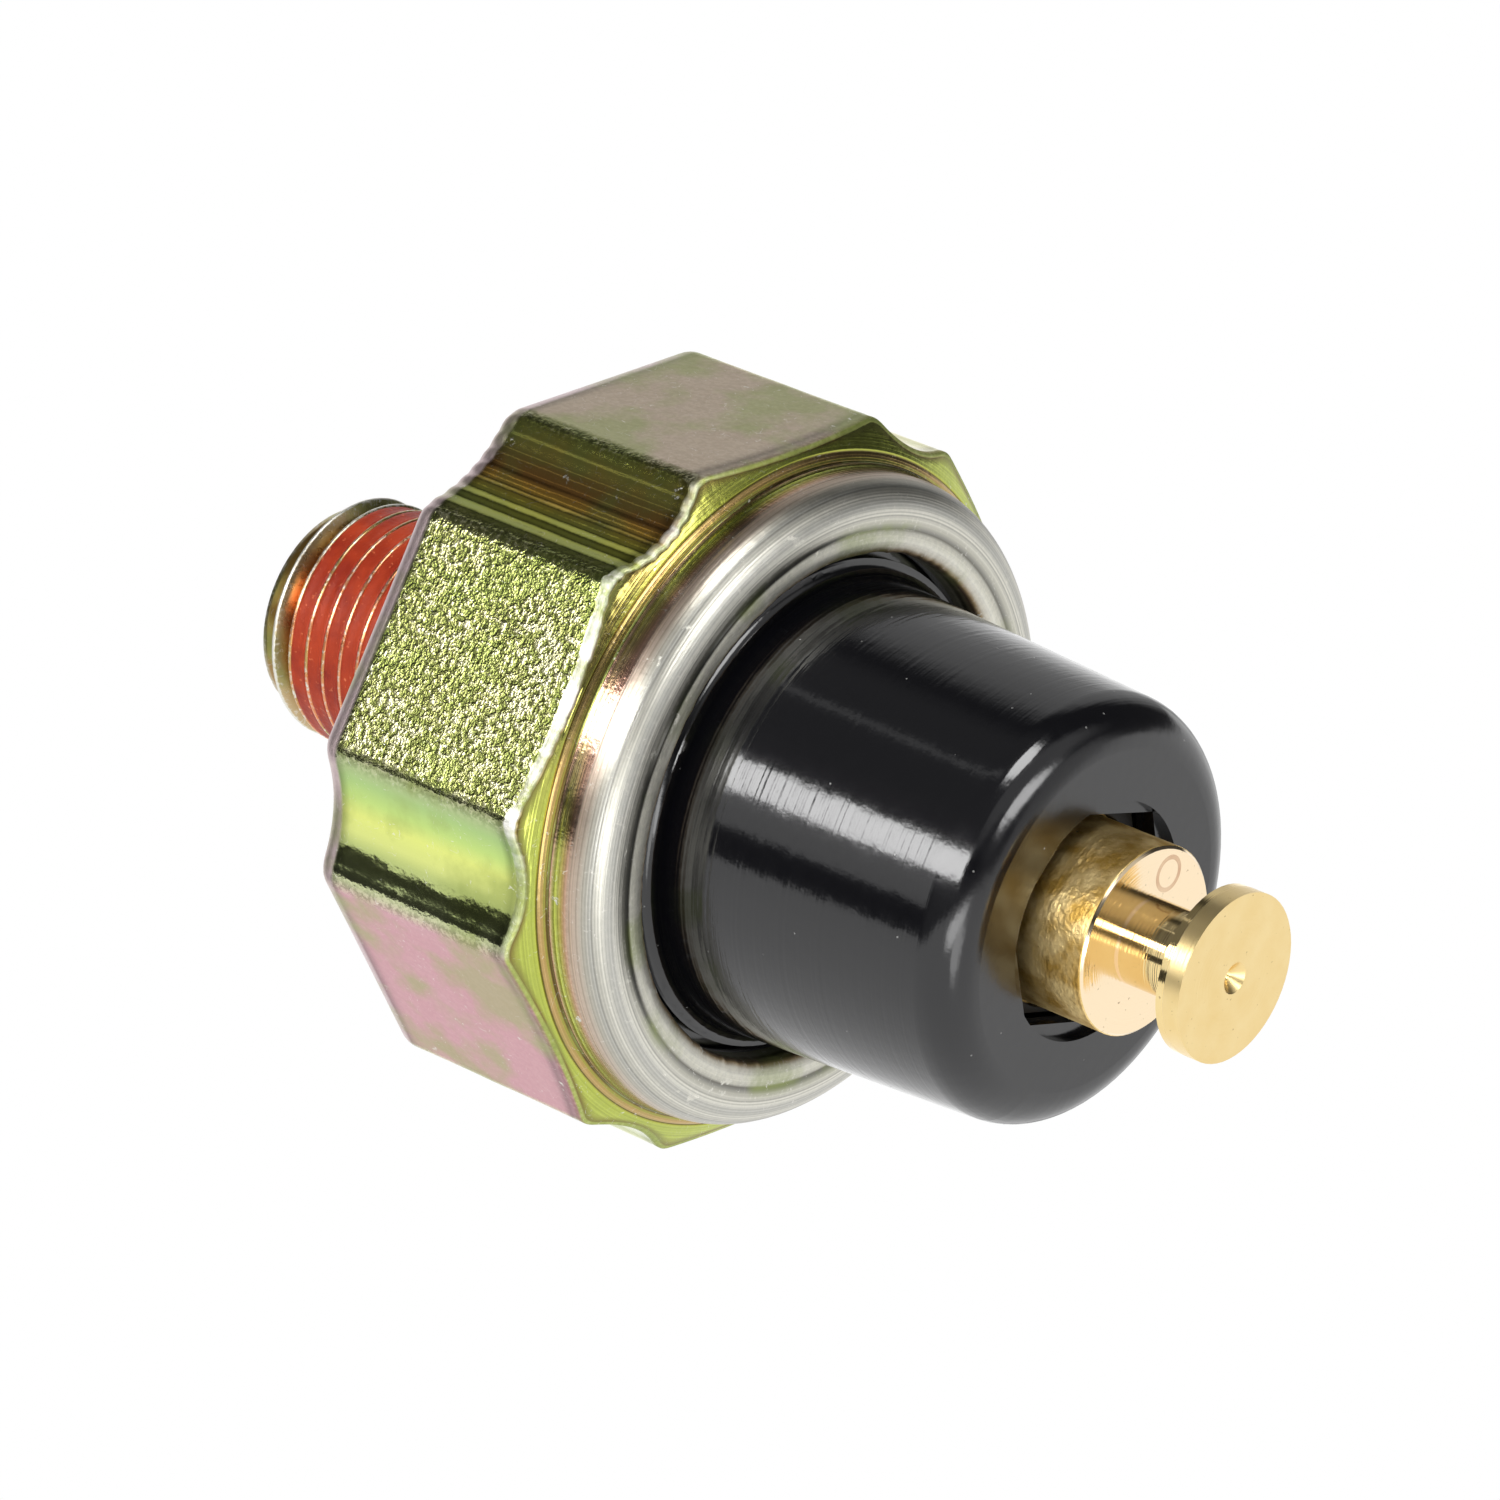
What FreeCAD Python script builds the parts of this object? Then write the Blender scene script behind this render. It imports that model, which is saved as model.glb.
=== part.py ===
import FreeCAD, Part
import math
import os

import Sketcher

# Engine oil pressure switch, normally closed, one terminal.
# A cold-forged 27 mm hexagon body carries an R1/8 taper thread below and a rolled rim above.
# The rim clamps a black phenolic insulator, and under it a stack of contact plate, clamp ring and diaphragm.
# Oil enters through the thread, lifts the diaphragm, and the pusher lifts the moving contact off the fixed one.
#
# Frame: +Z runs from the thread to the terminal, the origin is the centre of the hexagon's rear shoulder,
# and two of the hexagon's flats face along +Y and -Y. All sizes are in millimetres.

V = FreeCAD.Vector
UP = V(0, 0, 1)
doc = FreeCAD.newDocument("PressureSwitch")
nodes = []

# ---------------------------------------------------------------------------------------------------------
# Driving dimensions. Names that end in _z are heights above the shoulder, and names that end in _r are radii.
# ---------------------------------------------------------------------------------------------------------
DIMENSIONS = {
    # hexagon
    "across_flats": 27.0,
    "rim_root_z": 10.6,
    "rim_root_r": 12.7,
    "front_drop": 0.5,
    "flute_bottom_r": 13.6,
    "flute_r": 6.0,
    "ridge_round": 0.8,
    "rear_round": 1.2,
    # rolled rim
    "rim_r": 12.6,
    "rim_top_z": 12.8,
    "rim_roll": 1.3,
    "lip_shoulder_r": 10.45,
    "lip_r": 9.8,
    "lip_edge_z": 12.6,
    "lip_under_z": 11.5,
    "stack_bore_r": 11.4,
    # taper thread R1/8: 28 threads per inch, taper 1 in 16 on the diameter
    "thread_length": 12.5,
    "thread_end_r": 4.74,
    "thread_pitch": 0.907,
    "thread_depth": 0.581,
    "thread_slope": 0.03125,
    "thread_chamfer": 0.3,
    "thread_runout": 0.9,
    "root_flat": 0.12,
    # pressure port and chamber
    "port_r": 1.6,
    "port_top_z": 2.05,
    "plug_r": 2.4,
    "plug_hole_r": 0.4,
    "floor_z": 4.25,
    "chamber_r": 7.0,
    "seat_z": 5.25,
    "seal_groove_r": 9.0,
    "seal_groove_z": 4.15,
    "seal_gap": 0.25,
    "seal_ring_round": 0.5,
    "film": 0.15,
    "film_rise": 0.5,
    "film_crown_r": 5.6,
    "film_foot_r": 6.7,
    "stack_gap": 0.1,
    # pieces stacked above the diaphragm
    "clamp_r": 7.0,
    "plate_bottom_z": 8.25,
    "plate_top_z": 9.15,
    "plate_hole_r": 2.06,
    "gasket": 0.35,
    "gasket_inner_r": 7.4,
    "press_plate_r": 5.4,
    "press_plate": 0.6,
    "pusher_flange_r": 4.0,
    "pusher_flange": 0.6,
    "pusher_stem_r": 2.0,
    # contacts
    "contact_point_r": 0.7,
    "contact_point": 0.45,
    "contact_circle_r": 3.8,
    "disc_r": 5.0,
    "disc": 0.5,
    "spring_boss_r": 2.6,
    "spring_boss": 0.35,
    "small_round": 0.15,
    # spring
    "wire_r": 0.25,
    "coil_r": 3.0,
    "coil_turns": 6.0,
    # insulator
    "flange_top_z": 11.2,
    "boss_r": 9.45,
    "boss_z": 11.95,
    "root_r": 8.88,
    "nose_r": 8.1,
    "nose_z": 25.6,
    "nose_round": 1.7,
    "root_round": 0.5,
    "cavity_r": 5.8,
    "cavity_step_z": 14.85,
    "cavity_neck_r": 4.3,
    "cavity_roof_z": 18.35,
    "spotface_r": 4.55,
    "spotface": 0.35,
    "pocket_flats": 7.9,
    "pocket": 2.6,
    # terminal
    "collar_r": 3.6,
    "collar_z": 27.85,
    "neck_r": 1.65,
    "shoulder_r": 2.1,
    "shoulder_z": 30.15,
    "head_r": 3.2,
    "head_z": 30.9,
    "head": 1.0,
    "edge_break": 0.12,
    "mark_r": 0.6,
    "mark": 0.55,
    "key_flats": 7.7,
    "key": 0.8,
    "terminal_seal": 0.5,
    "shank_r": 1.5,
    "shank_hole_r": 1.55,
    "rivet_r": 2.3,
    "rivet": 0.45,
    "spring_seat_r": 4.0,
    "spring_seat": 0.5,
}

sheet = doc.addObject("Spreadsheet::Sheet", "Dims")
for row, (alias, value) in enumerate(DIMENSIONS.items(), start=1):
    sheet.set(f"A{row}", alias)
    sheet.set(f"B{row}", str(value))
    sheet.setAlias(f"B{row}", alias)
doc.recompute()


class Size:
    """A number worked out from the sheet, with the formula that keeps a feature tied to the sheet."""

    def __init__(self, number, text):
        self.number = number
        self.text = text

    def __add__(self, other):
        return Size(self.number + number_of(other), f"({self.text} + {text_of(other)})")

    def __sub__(self, other):
        return Size(self.number - number_of(other), f"({self.text} - {text_of(other)})")

    def __mul__(self, other):
        return Size(self.number * number_of(other), f"({self.text} * {text_of(other)})")

    def __truediv__(self, other):
        return Size(self.number / number_of(other), f"({self.text} / {text_of(other)})")

    def __neg__(self):
        return Size(-self.number, f"(0 - {self.text})")


def number_of(value):
    return value.number if isinstance(value, Size) else float(value)


def text_of(value):
    return value.text if isinstance(value, Size) else repr(float(value))


class Dims:
    """The sheet's cells by name: dims.rim_r is the rim's radius as a Size."""

    def __getattr__(self, alias):
        return Size(float(sheet.get(alias)), "Dims." + alias)


dims = Dims()


# ---------------------------------------------------------------------------------------------------------
# Ways of making a piece
# ---------------------------------------------------------------------------------------------------------
def new_body(name):
    body = doc.addObject("PartDesign::Body", name)
    body.Label = name
    nodes.append(body)
    return body


def new_sketch(body, name, role, height=0.0, turn_deg=0.0):
    """A sketch on one of the body's own origin planes, lifted by height and turned about the plane's normal."""
    sketch = body.newObject("Sketcher::SketchObject", name)
    plane = next(item for item in body.Origin.OriginFeatures if item.Role == role)
    sketch.AttachmentSupport = [(plane, "")]
    sketch.MapMode = "FlatFace"
    sketch.AttachmentOffset = FreeCAD.Placement(V(0, 0, number_of(height)), FreeCAD.Rotation(UP, turn_deg))
    if isinstance(height, Size):
        sketch.setExpression("AttachmentOffset.Base.z", height.text)
    return sketch


def constrain(sketch, kind, *where_and_value):
    """Adds a constraint whose last argument is its value, and binds it to the sheet."""
    *where, value = where_and_value
    index = sketch.addConstraint(Sketcher.Constraint(kind, *where, number_of(value)))
    if isinstance(value, Size):
        sketch.setExpression(f"Constraints[{index}]", value.text)


def draw_outline(sketch, points):
    """A closed outline of straight lines through points whose coordinates are tied to the sheet."""
    spots = [V(number_of(x), number_of(y), 0) for x, y in points]
    count = len(spots)
    for index in range(count):
        sketch.addGeometry(Part.LineSegment(spots[index], spots[(index + 1) % count]), False)
    for index, (x, y) in enumerate(points):
        sketch.addConstraint(Sketcher.Constraint("Coincident", index, 2, (index + 1) % count, 1))
        constrain(sketch, "DistanceX", -1, 1, index, 1, x)
        constrain(sketch, "DistanceY", -1, 1, index, 1, y)


def draw_circle(sketch, x, y, radius):
    circle = sketch.addGeometry(Part.Circle(V(number_of(x), number_of(y), 0), UP, number_of(radius)), False)
    constrain(sketch, "DistanceX", -1, 1, circle, 3, x)
    constrain(sketch, "DistanceY", -1, 1, circle, 3, y)
    constrain(sketch, "Radius", circle, radius)


def draw_hexagon(sketch, across_flats):
    """A regular hexagon about the origin, with two of its flats parallel to the sketch's X axis."""
    corner_r = across_flats / math.sqrt(3.0)
    corners = []
    for side in range(6):
        angle = math.radians(60 * side)
        corners.append((corner_r * math.cos(angle), corner_r * math.sin(angle)))
    draw_outline(sketch, corners)


def turned(body, name, points):
    """A piece or boss turned on the lathe: the outline holds (radius, height) pairs."""
    sketch = new_sketch(body, name + "_outline", "XZ_Plane")
    draw_outline(sketch, points)
    feature = body.newObject("PartDesign::Revolution", name)
    feature.Profile = sketch
    feature.ReferenceAxis = (sketch, ["V_Axis"])
    feature.Angle = 360
    doc.recompute()
    return feature


def bored(body, name, points):
    """A turned cut: the same outline as turned takes, taken away from the body."""
    before = body.Shape.Volume
    sketch = new_sketch(body, name + "_outline", "XZ_Plane")
    draw_outline(sketch, points)
    feature = body.newObject("PartDesign::Groove", name)
    feature.Profile = sketch
    feature.ReferenceAxis = (sketch, ["V_Axis"])
    feature.Angle = 360
    doc.recompute()
    must_remove(feature, before)
    return feature


def must_remove(feature, volume_before):
    if not feature.Shape.Volume < volume_before - 1e-3:
        raise RuntimeError(feature.Name + " cuts nothing")


def padded(body, sketch, name, length):
    feature = body.newObject("PartDesign::Pad", name)
    feature.Profile = sketch
    feature.Length = number_of(length)
    feature.setExpression("Length", text_of(length))
    doc.recompute()
    return feature


def pocketed(body, sketch, name, depth, upward=False):
    """A pocket from the sketch, downward unless upward is set."""
    before = body.Shape.Volume
    feature = body.newObject("PartDesign::Pocket", name)
    feature.Profile = sketch
    feature.Reversed = upward
    feature.Length = number_of(depth)
    feature.setExpression("Length", text_of(depth))
    doc.recompute()
    must_remove(feature, before)
    return feature


def around_axis(body, feature, name, count):
    """Repeats a feature evenly about +Z."""
    pattern = body.newObject("PartDesign::PolarPattern", name)
    pattern.Originals = [feature]
    pattern.Axis = (next(item for item in body.Origin.OriginFeatures if item.Role == "Z_Axis"), [""])
    pattern.Angle = 360
    pattern.Occurrences = count
    body.Tip = pattern
    doc.recompute()
    return pattern


def ring_edges(shape, radius, height):
    """Names of the closed edges that pass through this radius at this height."""
    names = []
    for index, edge in enumerate(shape.Edges, start=1):
        spot = edge.valueAt(edge.FirstParameter)
        off_radius = abs(math.hypot(spot.x, spot.y) - number_of(radius))
        if edge.isClosed() and off_radius < 0.01 and abs(spot.z - number_of(height)) < 0.01:
            names.append(f"Edge{index}")
    return names


def upright_edges(shape, longer_than):
    """Names of the straight edges that run along Z."""
    names = []
    for index, edge in enumerate(shape.Edges, start=1):
        first, last = edge.Vertexes[0].Point, edge.Vertexes[-1].Point
        if abs(first.z - last.z) > longer_than and math.hypot(first.x - last.x, first.y - last.y) < 1e-4:
            names.append(f"Edge{index}")
    return names


def edges_at_height(shape, height, outside_r):
    """Names of the edges that lie wholly at one height and outside a radius."""
    names = []
    for index, edge in enumerate(shape.Edges, start=1):
        middle = edge.valueAt((edge.FirstParameter + edge.LastParameter) / 2)
        spots = [vertex.Point for vertex in edge.Vertexes] + [middle]
        if all(abs(p.z - height) < 1e-4 and math.hypot(p.x, p.y) > outside_r for p in spots):
            names.append(f"Edge{index}")
    return names


def rounded(body, name, radius, edge_names):
    if not edge_names:
        raise RuntimeError(name + " found no edge")
    base = body.Tip
    feature = body.newObject("PartDesign::Fillet", name)
    feature.Base = (base, edge_names)
    feature.Radius = number_of(radius)
    feature.setExpression("Radius", text_of(radius))
    body.Tip = feature
    doc.recompute()
    return feature


def ring_outline(inner, outer, low, high):
    return [(inner, low), (outer, low), (outer, high), (inner, high)]


# ---------------------------------------------------------------------------------------------------------
# hex_body: forged hexagon, turned rim, taper thread and pressure chamber in one piece of steel
# ---------------------------------------------------------------------------------------------------------
hexagon_corner_r = dims.across_flats / math.sqrt(3.0)
thread_base_r = dims.thread_end_r + dims.thread_length * dims.thread_slope

hex_body = new_body("hex_body")
hexagon = new_sketch(hex_body, "hexagon", "XY_Plane")
draw_hexagon(hexagon, dims.across_flats)
padded(hex_body, hexagon, "forged_hexagon", dims.rim_root_z)

# a shallow hollow runs along each corner, where the forging die left the metal short
flute = new_sketch(hex_body, "flute_circle", "XY_Plane", dims.rim_root_z)
draw_circle(flute, dims.flute_bottom_r + dims.flute_r, 0.0, dims.flute_r)
one_flute = pocketed(hex_body, flute, "flute", dims.rim_root_z)
around_axis(hex_body, one_flute, "flutes", 6)
SHORTEST_RIDGE = 5.0
OUTSIDE_SHANK_R = 10.0
rounded(hex_body, "ridge_rounds", dims.ridge_round, upright_edges(hex_body.Shape, SHORTEST_RIDGE))
rounded(hex_body, "rear_edge", dims.rear_round, edges_at_height(hex_body.Shape, 0.0, OUTSIDE_SHANK_R))

# the turned front face falls away from the rim root to the flats
OVERLAP = 1.0  # how far a cutting or joining shape runs past the faces it works on
outside_r = hexagon_corner_r + OVERLAP
bored(hex_body, "front_chamfer", [
    (dims.rim_root_r, dims.rim_root_z),
    (outside_r, dims.rim_root_z - (outside_r - dims.rim_root_r) * dims.front_drop),
    (outside_r, dims.rim_root_z + OVERLAP),
    (dims.rim_root_r, dims.rim_root_z + OVERLAP),
])

# the rim stands up from the front face and is rolled inward over the insulator
turned(hex_body, "rolled_rim", [
    (dims.stack_bore_r, dims.rim_root_z - OVERLAP),
    (dims.rim_root_r, dims.rim_root_z - OVERLAP),
    (dims.rim_root_r, dims.rim_root_z),
    (dims.rim_r, dims.rim_top_z),
    (dims.lip_shoulder_r, dims.rim_top_z),
    (dims.lip_r, dims.lip_edge_z),
    (dims.lip_r, dims.lip_under_z),
    (dims.stack_bore_r, dims.lip_under_z),
])
rounded(hex_body, "rim_roll", dims.rim_roll, ring_edges(hex_body.Shape, dims.rim_r, dims.rim_top_z))

# taper shank with a chamfered end
turned(hex_body, "shank", [
    (0.0, OVERLAP),
    (0.0, -dims.thread_length),
    (dims.thread_end_r - dims.thread_chamfer, -dims.thread_length),
    (dims.thread_end_r + dims.thread_chamfer * dims.thread_slope, dims.thread_chamfer - dims.thread_length),
    (thread_base_r, 0.0),
    (thread_base_r, OVERLAP),
])

# the diaphragm stack drops into stepped bores, and the port comes up to meet them
bored(hex_body, "stack_bores", [
    (0.0, dims.floor_z),
    (dims.chamber_r, dims.floor_z),
    (dims.chamber_r, dims.seat_z),
    (dims.seal_groove_r, dims.seat_z),
    (dims.seal_groove_r, dims.seal_groove_z),
    (dims.stack_bore_r, dims.seal_groove_z),
    (dims.stack_bore_r, dims.rim_root_z),
    (0.0, dims.rim_root_z),
])
bored(hex_body, "port", [
    (0.0, -dims.thread_length),
    (dims.port_r, -dims.thread_length),
    (dims.port_r, dims.port_top_z),
    (dims.plug_r, dims.port_top_z),
    (dims.plug_r, dims.floor_z),
    (0.0, dims.floor_z),
])

# thread groove: a truncated 55 degree V swept up the taper from below the end to the runout
groove_foot_z = -(dims.thread_length + dims.thread_pitch)
groove_foot_r = dims.thread_end_r - dims.thread_pitch * dims.thread_slope
THREAD_HALF_ANGLE_DEG = 27.5
GROOVE_PROUD = 0.1
flank_run = math.tan(math.radians(THREAD_HALF_ANGLE_DEG))


def draw_groove(sketch, turns_up, proud):
    """The groove's section that many turns above its foot, reaching this far proud of the crests."""
    middle_z = groove_foot_z + dims.thread_pitch * turns_up
    crest_r = groove_foot_r + dims.thread_pitch * dims.thread_slope * turns_up
    half_root = dims.root_flat / 2
    half_mouth = half_root + (dims.thread_depth + proud) * flank_run
    draw_outline(sketch, [
        (crest_r + proud, middle_z - half_mouth),
        (crest_r + proud, middle_z + half_mouth),
        (crest_r - dims.thread_depth, middle_z + half_root),
        (crest_r - dims.thread_depth, middle_z - half_root),
    ])


def wound(body, kind, name, sketch, pitch, rise, slope=0.0):
    """Winds the sketch up and around +Z as a right-hand helix, on a cone where there is a slope."""
    feature = body.newObject(kind, name)
    feature.Profile = sketch
    feature.ReferenceAxis = (sketch, ["V_Axis"])
    feature.Mode = 0
    for size_name, size in (("Pitch", pitch), ("Height", rise)):
        setattr(feature, size_name, number_of(size))
        feature.setExpression(size_name, text_of(size))
    feature.Angle = math.degrees(math.atan(number_of(slope)))
    doc.recompute()
    return feature


groove = new_sketch(hex_body, "thread_groove", "XZ_Plane")
draw_groove(groove, 0.0, GROOVE_PROUD)
volume_before_thread = hex_body.Shape.Volume
thread_rise = dims.thread_length + dims.thread_pitch - dims.thread_runout
taper_thread = wound(hex_body, "PartDesign::SubtractiveHelix", "taper_thread", groove,
                     dims.thread_pitch, thread_rise, dims.thread_slope)
must_remove(taper_thread, volume_before_thread)

# ---------------------------------------------------------------------------------------------------------
# thread_sealant: the pre-applied coat, a ribbon that fills the groove to just under the crests
# ---------------------------------------------------------------------------------------------------------
BARE_TURNS = 2.0
SEALED_TURNS = 11.6
sealant_under_crest = 0.06

thread_sealant = new_body("thread_sealant")
ribbon = new_sketch(thread_sealant, "ribbon_section", "XZ_Plane")
draw_groove(ribbon, BARE_TURNS, -sealant_under_crest)
wound(thread_sealant, "PartDesign::AdditiveHelix", "ribbon", ribbon,
      dims.thread_pitch, dims.thread_pitch * SEALED_TURNS, dims.thread_slope)

# ---------------------------------------------------------------------------------------------------------
# port_restrictor: brass plug pressed into the top of the port, with a fine hole that damps pressure pulses
# ---------------------------------------------------------------------------------------------------------
port_restrictor = new_body("port_restrictor")
turned(port_restrictor, "plug", ring_outline(dims.plug_hole_r, dims.plug_r, dims.port_top_z, dims.floor_z))

# ---------------------------------------------------------------------------------------------------------
# seal_ring: nitrile ring squeezed in its groove under the diaphragm's edge
# ---------------------------------------------------------------------------------------------------------
seal_ring = new_body("seal_ring")
turned(seal_ring, "squeezed_ring", ring_outline(
    dims.seal_groove_r + dims.seal_gap, dims.stack_bore_r - dims.seal_gap, dims.seal_groove_z, dims.seat_z))
for height_name, ring_z in (("lower", dims.seal_groove_z), ("upper", dims.seat_z)):
    edge_names = ring_edges(seal_ring.Shape, dims.seal_groove_r + dims.seal_gap, ring_z)
    edge_names += ring_edges(seal_ring.Shape, dims.stack_bore_r - dims.seal_gap, ring_z)
    rounded(seal_ring, height_name + "_rounds", dims.seal_ring_round, edge_names)

# ---------------------------------------------------------------------------------------------------------
# diaphragm and diaphragm_backing: two films formed to the same low crown, clamped at their edges
# ---------------------------------------------------------------------------------------------------------
stack_r = dims.stack_bore_r - dims.stack_gap
crown_top_z = dims.seat_z + dims.film_rise + dims.film * 2.0


def formed_film(name, foot_z):
    """A film with a flat clamped edge and a raised crown that the pressure plate rests on."""
    film_body = new_body(name)
    turned(film_body, name + "_crown", [
        (0.0, foot_z + dims.film_rise),
        (dims.film_crown_r, foot_z + dims.film_rise),
        (dims.film_foot_r, foot_z),
        (stack_r, foot_z),
        (stack_r, foot_z + dims.film),
        (dims.film_foot_r, foot_z + dims.film),
        (dims.film_crown_r, foot_z + dims.film_rise + dims.film),
        (0.0, foot_z + dims.film_rise + dims.film),
    ])


formed_film("diaphragm", dims.seat_z)
formed_film("diaphragm_backing", dims.seat_z + dims.film)

# ---------------------------------------------------------------------------------------------------------
# clamp_ring: steel ring that presses the films onto the seal and stands the contact plate off them
# ---------------------------------------------------------------------------------------------------------
clamp_ring = new_body("clamp_ring")
turned(clamp_ring, "clamp", ring_outline(dims.clamp_r, stack_r, dims.seat_z + dims.film * 2.0, dims.plate_bottom_z))

# ---------------------------------------------------------------------------------------------------------
# pressure_plate and pusher: they ride up on the diaphragm and carry its force to the moving contact
# ---------------------------------------------------------------------------------------------------------
press_plate_top_z = crown_top_z + dims.press_plate
disc_bottom_z = dims.plate_top_z + dims.contact_point * 2.0

pressure_plate = new_body("pressure_plate")
turned(pressure_plate, "pressed_disc", ring_outline(0.0, dims.press_plate_r, crown_top_z, press_plate_top_z))
rounded(pressure_plate, "rolled_edge", dims.small_round,
        ring_edges(pressure_plate.Shape, dims.press_plate_r, crown_top_z))

pusher = new_body("pusher")
turned(pusher, "moulding", [
    (0.0, press_plate_top_z),
    (dims.pusher_flange_r, press_plate_top_z),
    (dims.pusher_flange_r, press_plate_top_z + dims.pusher_flange),
    (dims.pusher_stem_r, press_plate_top_z + dims.pusher_flange),
    (dims.pusher_stem_r, disc_bottom_z),
    (0.0, disc_bottom_z),
])
rounded(pusher, "stem_root", dims.small_round,
        ring_edges(pusher.Shape, dims.pusher_stem_r, press_plate_top_z + dims.pusher_flange))

# ---------------------------------------------------------------------------------------------------------
# contact_plate: brass plate earthed to the body, with the hole that guides the pusher's stem
# ---------------------------------------------------------------------------------------------------------
contact_plate = new_body("contact_plate")
blank = new_sketch(contact_plate, "blank_circle", "XY_Plane", dims.plate_bottom_z)
draw_circle(blank, 0.0, 0.0, stack_r)
padded(contact_plate, blank, "blank", dims.plate_top_z - dims.plate_bottom_z)
guide = new_sketch(contact_plate, "guide_circle", "XY_Plane", dims.plate_top_z)
draw_circle(guide, 0.0, 0.0, dims.plate_hole_r)
pocketed(contact_plate, guide, "guide_hole", dims.plate_top_z - dims.plate_bottom_z)


# ---------------------------------------------------------------------------------------------------------
# fixed_contacts and moving_contact_points: three silver points each, face to face when the switch is closed
# ---------------------------------------------------------------------------------------------------------
CONTACTS = 3
FIRST_CONTACT_DEG = 90


def contact_points(name, foot_z):
    """Three round points on the contact circle, as one node."""
    points = []
    for number in range(CONTACTS):
        angle = math.radians(360 / CONTACTS * number + FIRST_CONTACT_DEG)
        point = doc.addObject("Part::Cylinder", f"{name}_{number + 1}")
        point.setExpression("Radius", dims.contact_point_r.text)
        point.setExpression("Height", dims.contact_point.text)
        point.setExpression("Placement.Base.x", (dims.contact_circle_r * math.cos(angle)).text)
        point.setExpression("Placement.Base.y", (dims.contact_circle_r * math.sin(angle)).text)
        point.setExpression("Placement.Base.z", foot_z.text)
        points.append(point)
    group = doc.addObject("Part::MultiFuse", name)
    group.Shapes = points
    group.Label = name
    nodes.append(group)


contact_points("fixed_contacts", dims.plate_top_z)
contact_points("moving_contact_points", dims.plate_top_z + dims.contact_point)

# ---------------------------------------------------------------------------------------------------------
# moving_contact: brass disc lifted by the pusher, with a boss that centres the spring
# ---------------------------------------------------------------------------------------------------------
disc_top_z = disc_bottom_z + dims.disc
moving_contact = new_body("moving_contact")
turned(moving_contact, "stamped_disc", [
    (0.0, disc_bottom_z),
    (dims.disc_r, disc_bottom_z),
    (dims.disc_r, disc_top_z),
    (dims.spring_boss_r, disc_top_z),
    (dims.spring_boss_r - dims.small_round, disc_top_z + dims.spring_boss),
    (0.0, disc_top_z + dims.spring_boss),
])

# ---------------------------------------------------------------------------------------------------------
# contact_spring: wound wire between the moving contact and the terminal's seat; it also carries the current
# ---------------------------------------------------------------------------------------------------------
seat_bottom_z = dims.cavity_roof_z - dims.spring_seat
coil_rise = seat_bottom_z - disc_top_z - dims.wire_r * 2.0

contact_spring = new_body("contact_spring")
wire = new_sketch(contact_spring, "wire_circle", "XZ_Plane")
draw_circle(wire, dims.coil_r, disc_top_z + dims.wire_r, dims.wire_r)
wound(contact_spring, "PartDesign::AdditiveHelix", "coil", wire, coil_rise / dims.coil_turns, coil_rise)

# ---------------------------------------------------------------------------------------------------------
# spring_seat: brass washer under the cavity roof, held by the terminal's riveted tail
# ---------------------------------------------------------------------------------------------------------
spring_seat = new_body("spring_seat")
turned(spring_seat, "washer", ring_outline(
    dims.shank_hole_r, dims.spring_seat_r, seat_bottom_z, dims.cavity_roof_z))

# ---------------------------------------------------------------------------------------------------------
# flange_gasket and crimp_washer: they take up the crimp's load below and above the insulator's flange
# ---------------------------------------------------------------------------------------------------------
flange_bottom_z = dims.plate_top_z + dims.gasket

flange_gasket = new_body("flange_gasket")
turned(flange_gasket, "gasket", ring_outline(dims.gasket_inner_r, stack_r, dims.plate_top_z, flange_bottom_z))

crimp_washer = new_body("crimp_washer")
turned(crimp_washer, "washer_ring", ring_outline(
    dims.lip_r + dims.stack_gap, stack_r, dims.flange_top_z, dims.lip_under_z))

# ---------------------------------------------------------------------------------------------------------
# insulator: glossy black phenolic moulding with a tapered nose and a hexagonal pocket that keys the terminal
# ---------------------------------------------------------------------------------------------------------
insulator = new_body("insulator")
turned(insulator, "moulded_form", [
    (dims.shank_hole_r, dims.cavity_roof_z),
    (dims.cavity_neck_r, dims.cavity_roof_z),
    (dims.cavity_neck_r, dims.cavity_step_z),
    (dims.cavity_r, dims.cavity_step_z),
    (dims.cavity_r, flange_bottom_z),
    (stack_r, flange_bottom_z),
    (stack_r, dims.flange_top_z),
    (dims.boss_r, dims.flange_top_z),
    (dims.boss_r, dims.boss_z),
    (dims.root_r, dims.boss_z),
    (dims.nose_r, dims.nose_z),
    (dims.shank_hole_r, dims.nose_z),
])
rounded(insulator, "nose_edge", dims.nose_round, ring_edges(insulator.Shape, dims.nose_r, dims.nose_z))
rounded(insulator, "root_edge", dims.root_round, ring_edges(insulator.Shape, dims.root_r, dims.boss_z))
POCKET_TURN_DEG = 45.0
spotface = new_sketch(insulator, "spotface_circle", "XY_Plane", dims.nose_z)
draw_circle(spotface, 0.0, 0.0, dims.spotface_r)
pocketed(insulator, spotface, "spotface", dims.spotface)
key_pocket = new_sketch(insulator, "key_pocket_hexagon", "XY_Plane", dims.nose_z, POCKET_TURN_DEG)
draw_hexagon(key_pocket, dims.pocket_flats)
pocketed(insulator, key_pocket, "key_pocket", dims.pocket)

# ---------------------------------------------------------------------------------------------------------
# terminal_stud and terminal_seal: turned brass snap terminal, keyed in the pocket under a rubber seal
# ---------------------------------------------------------------------------------------------------------
pocket_floor_z = dims.nose_z - dims.pocket
key_top_z = pocket_floor_z + dims.key
head_top_z = dims.head_z + dims.head

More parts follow.
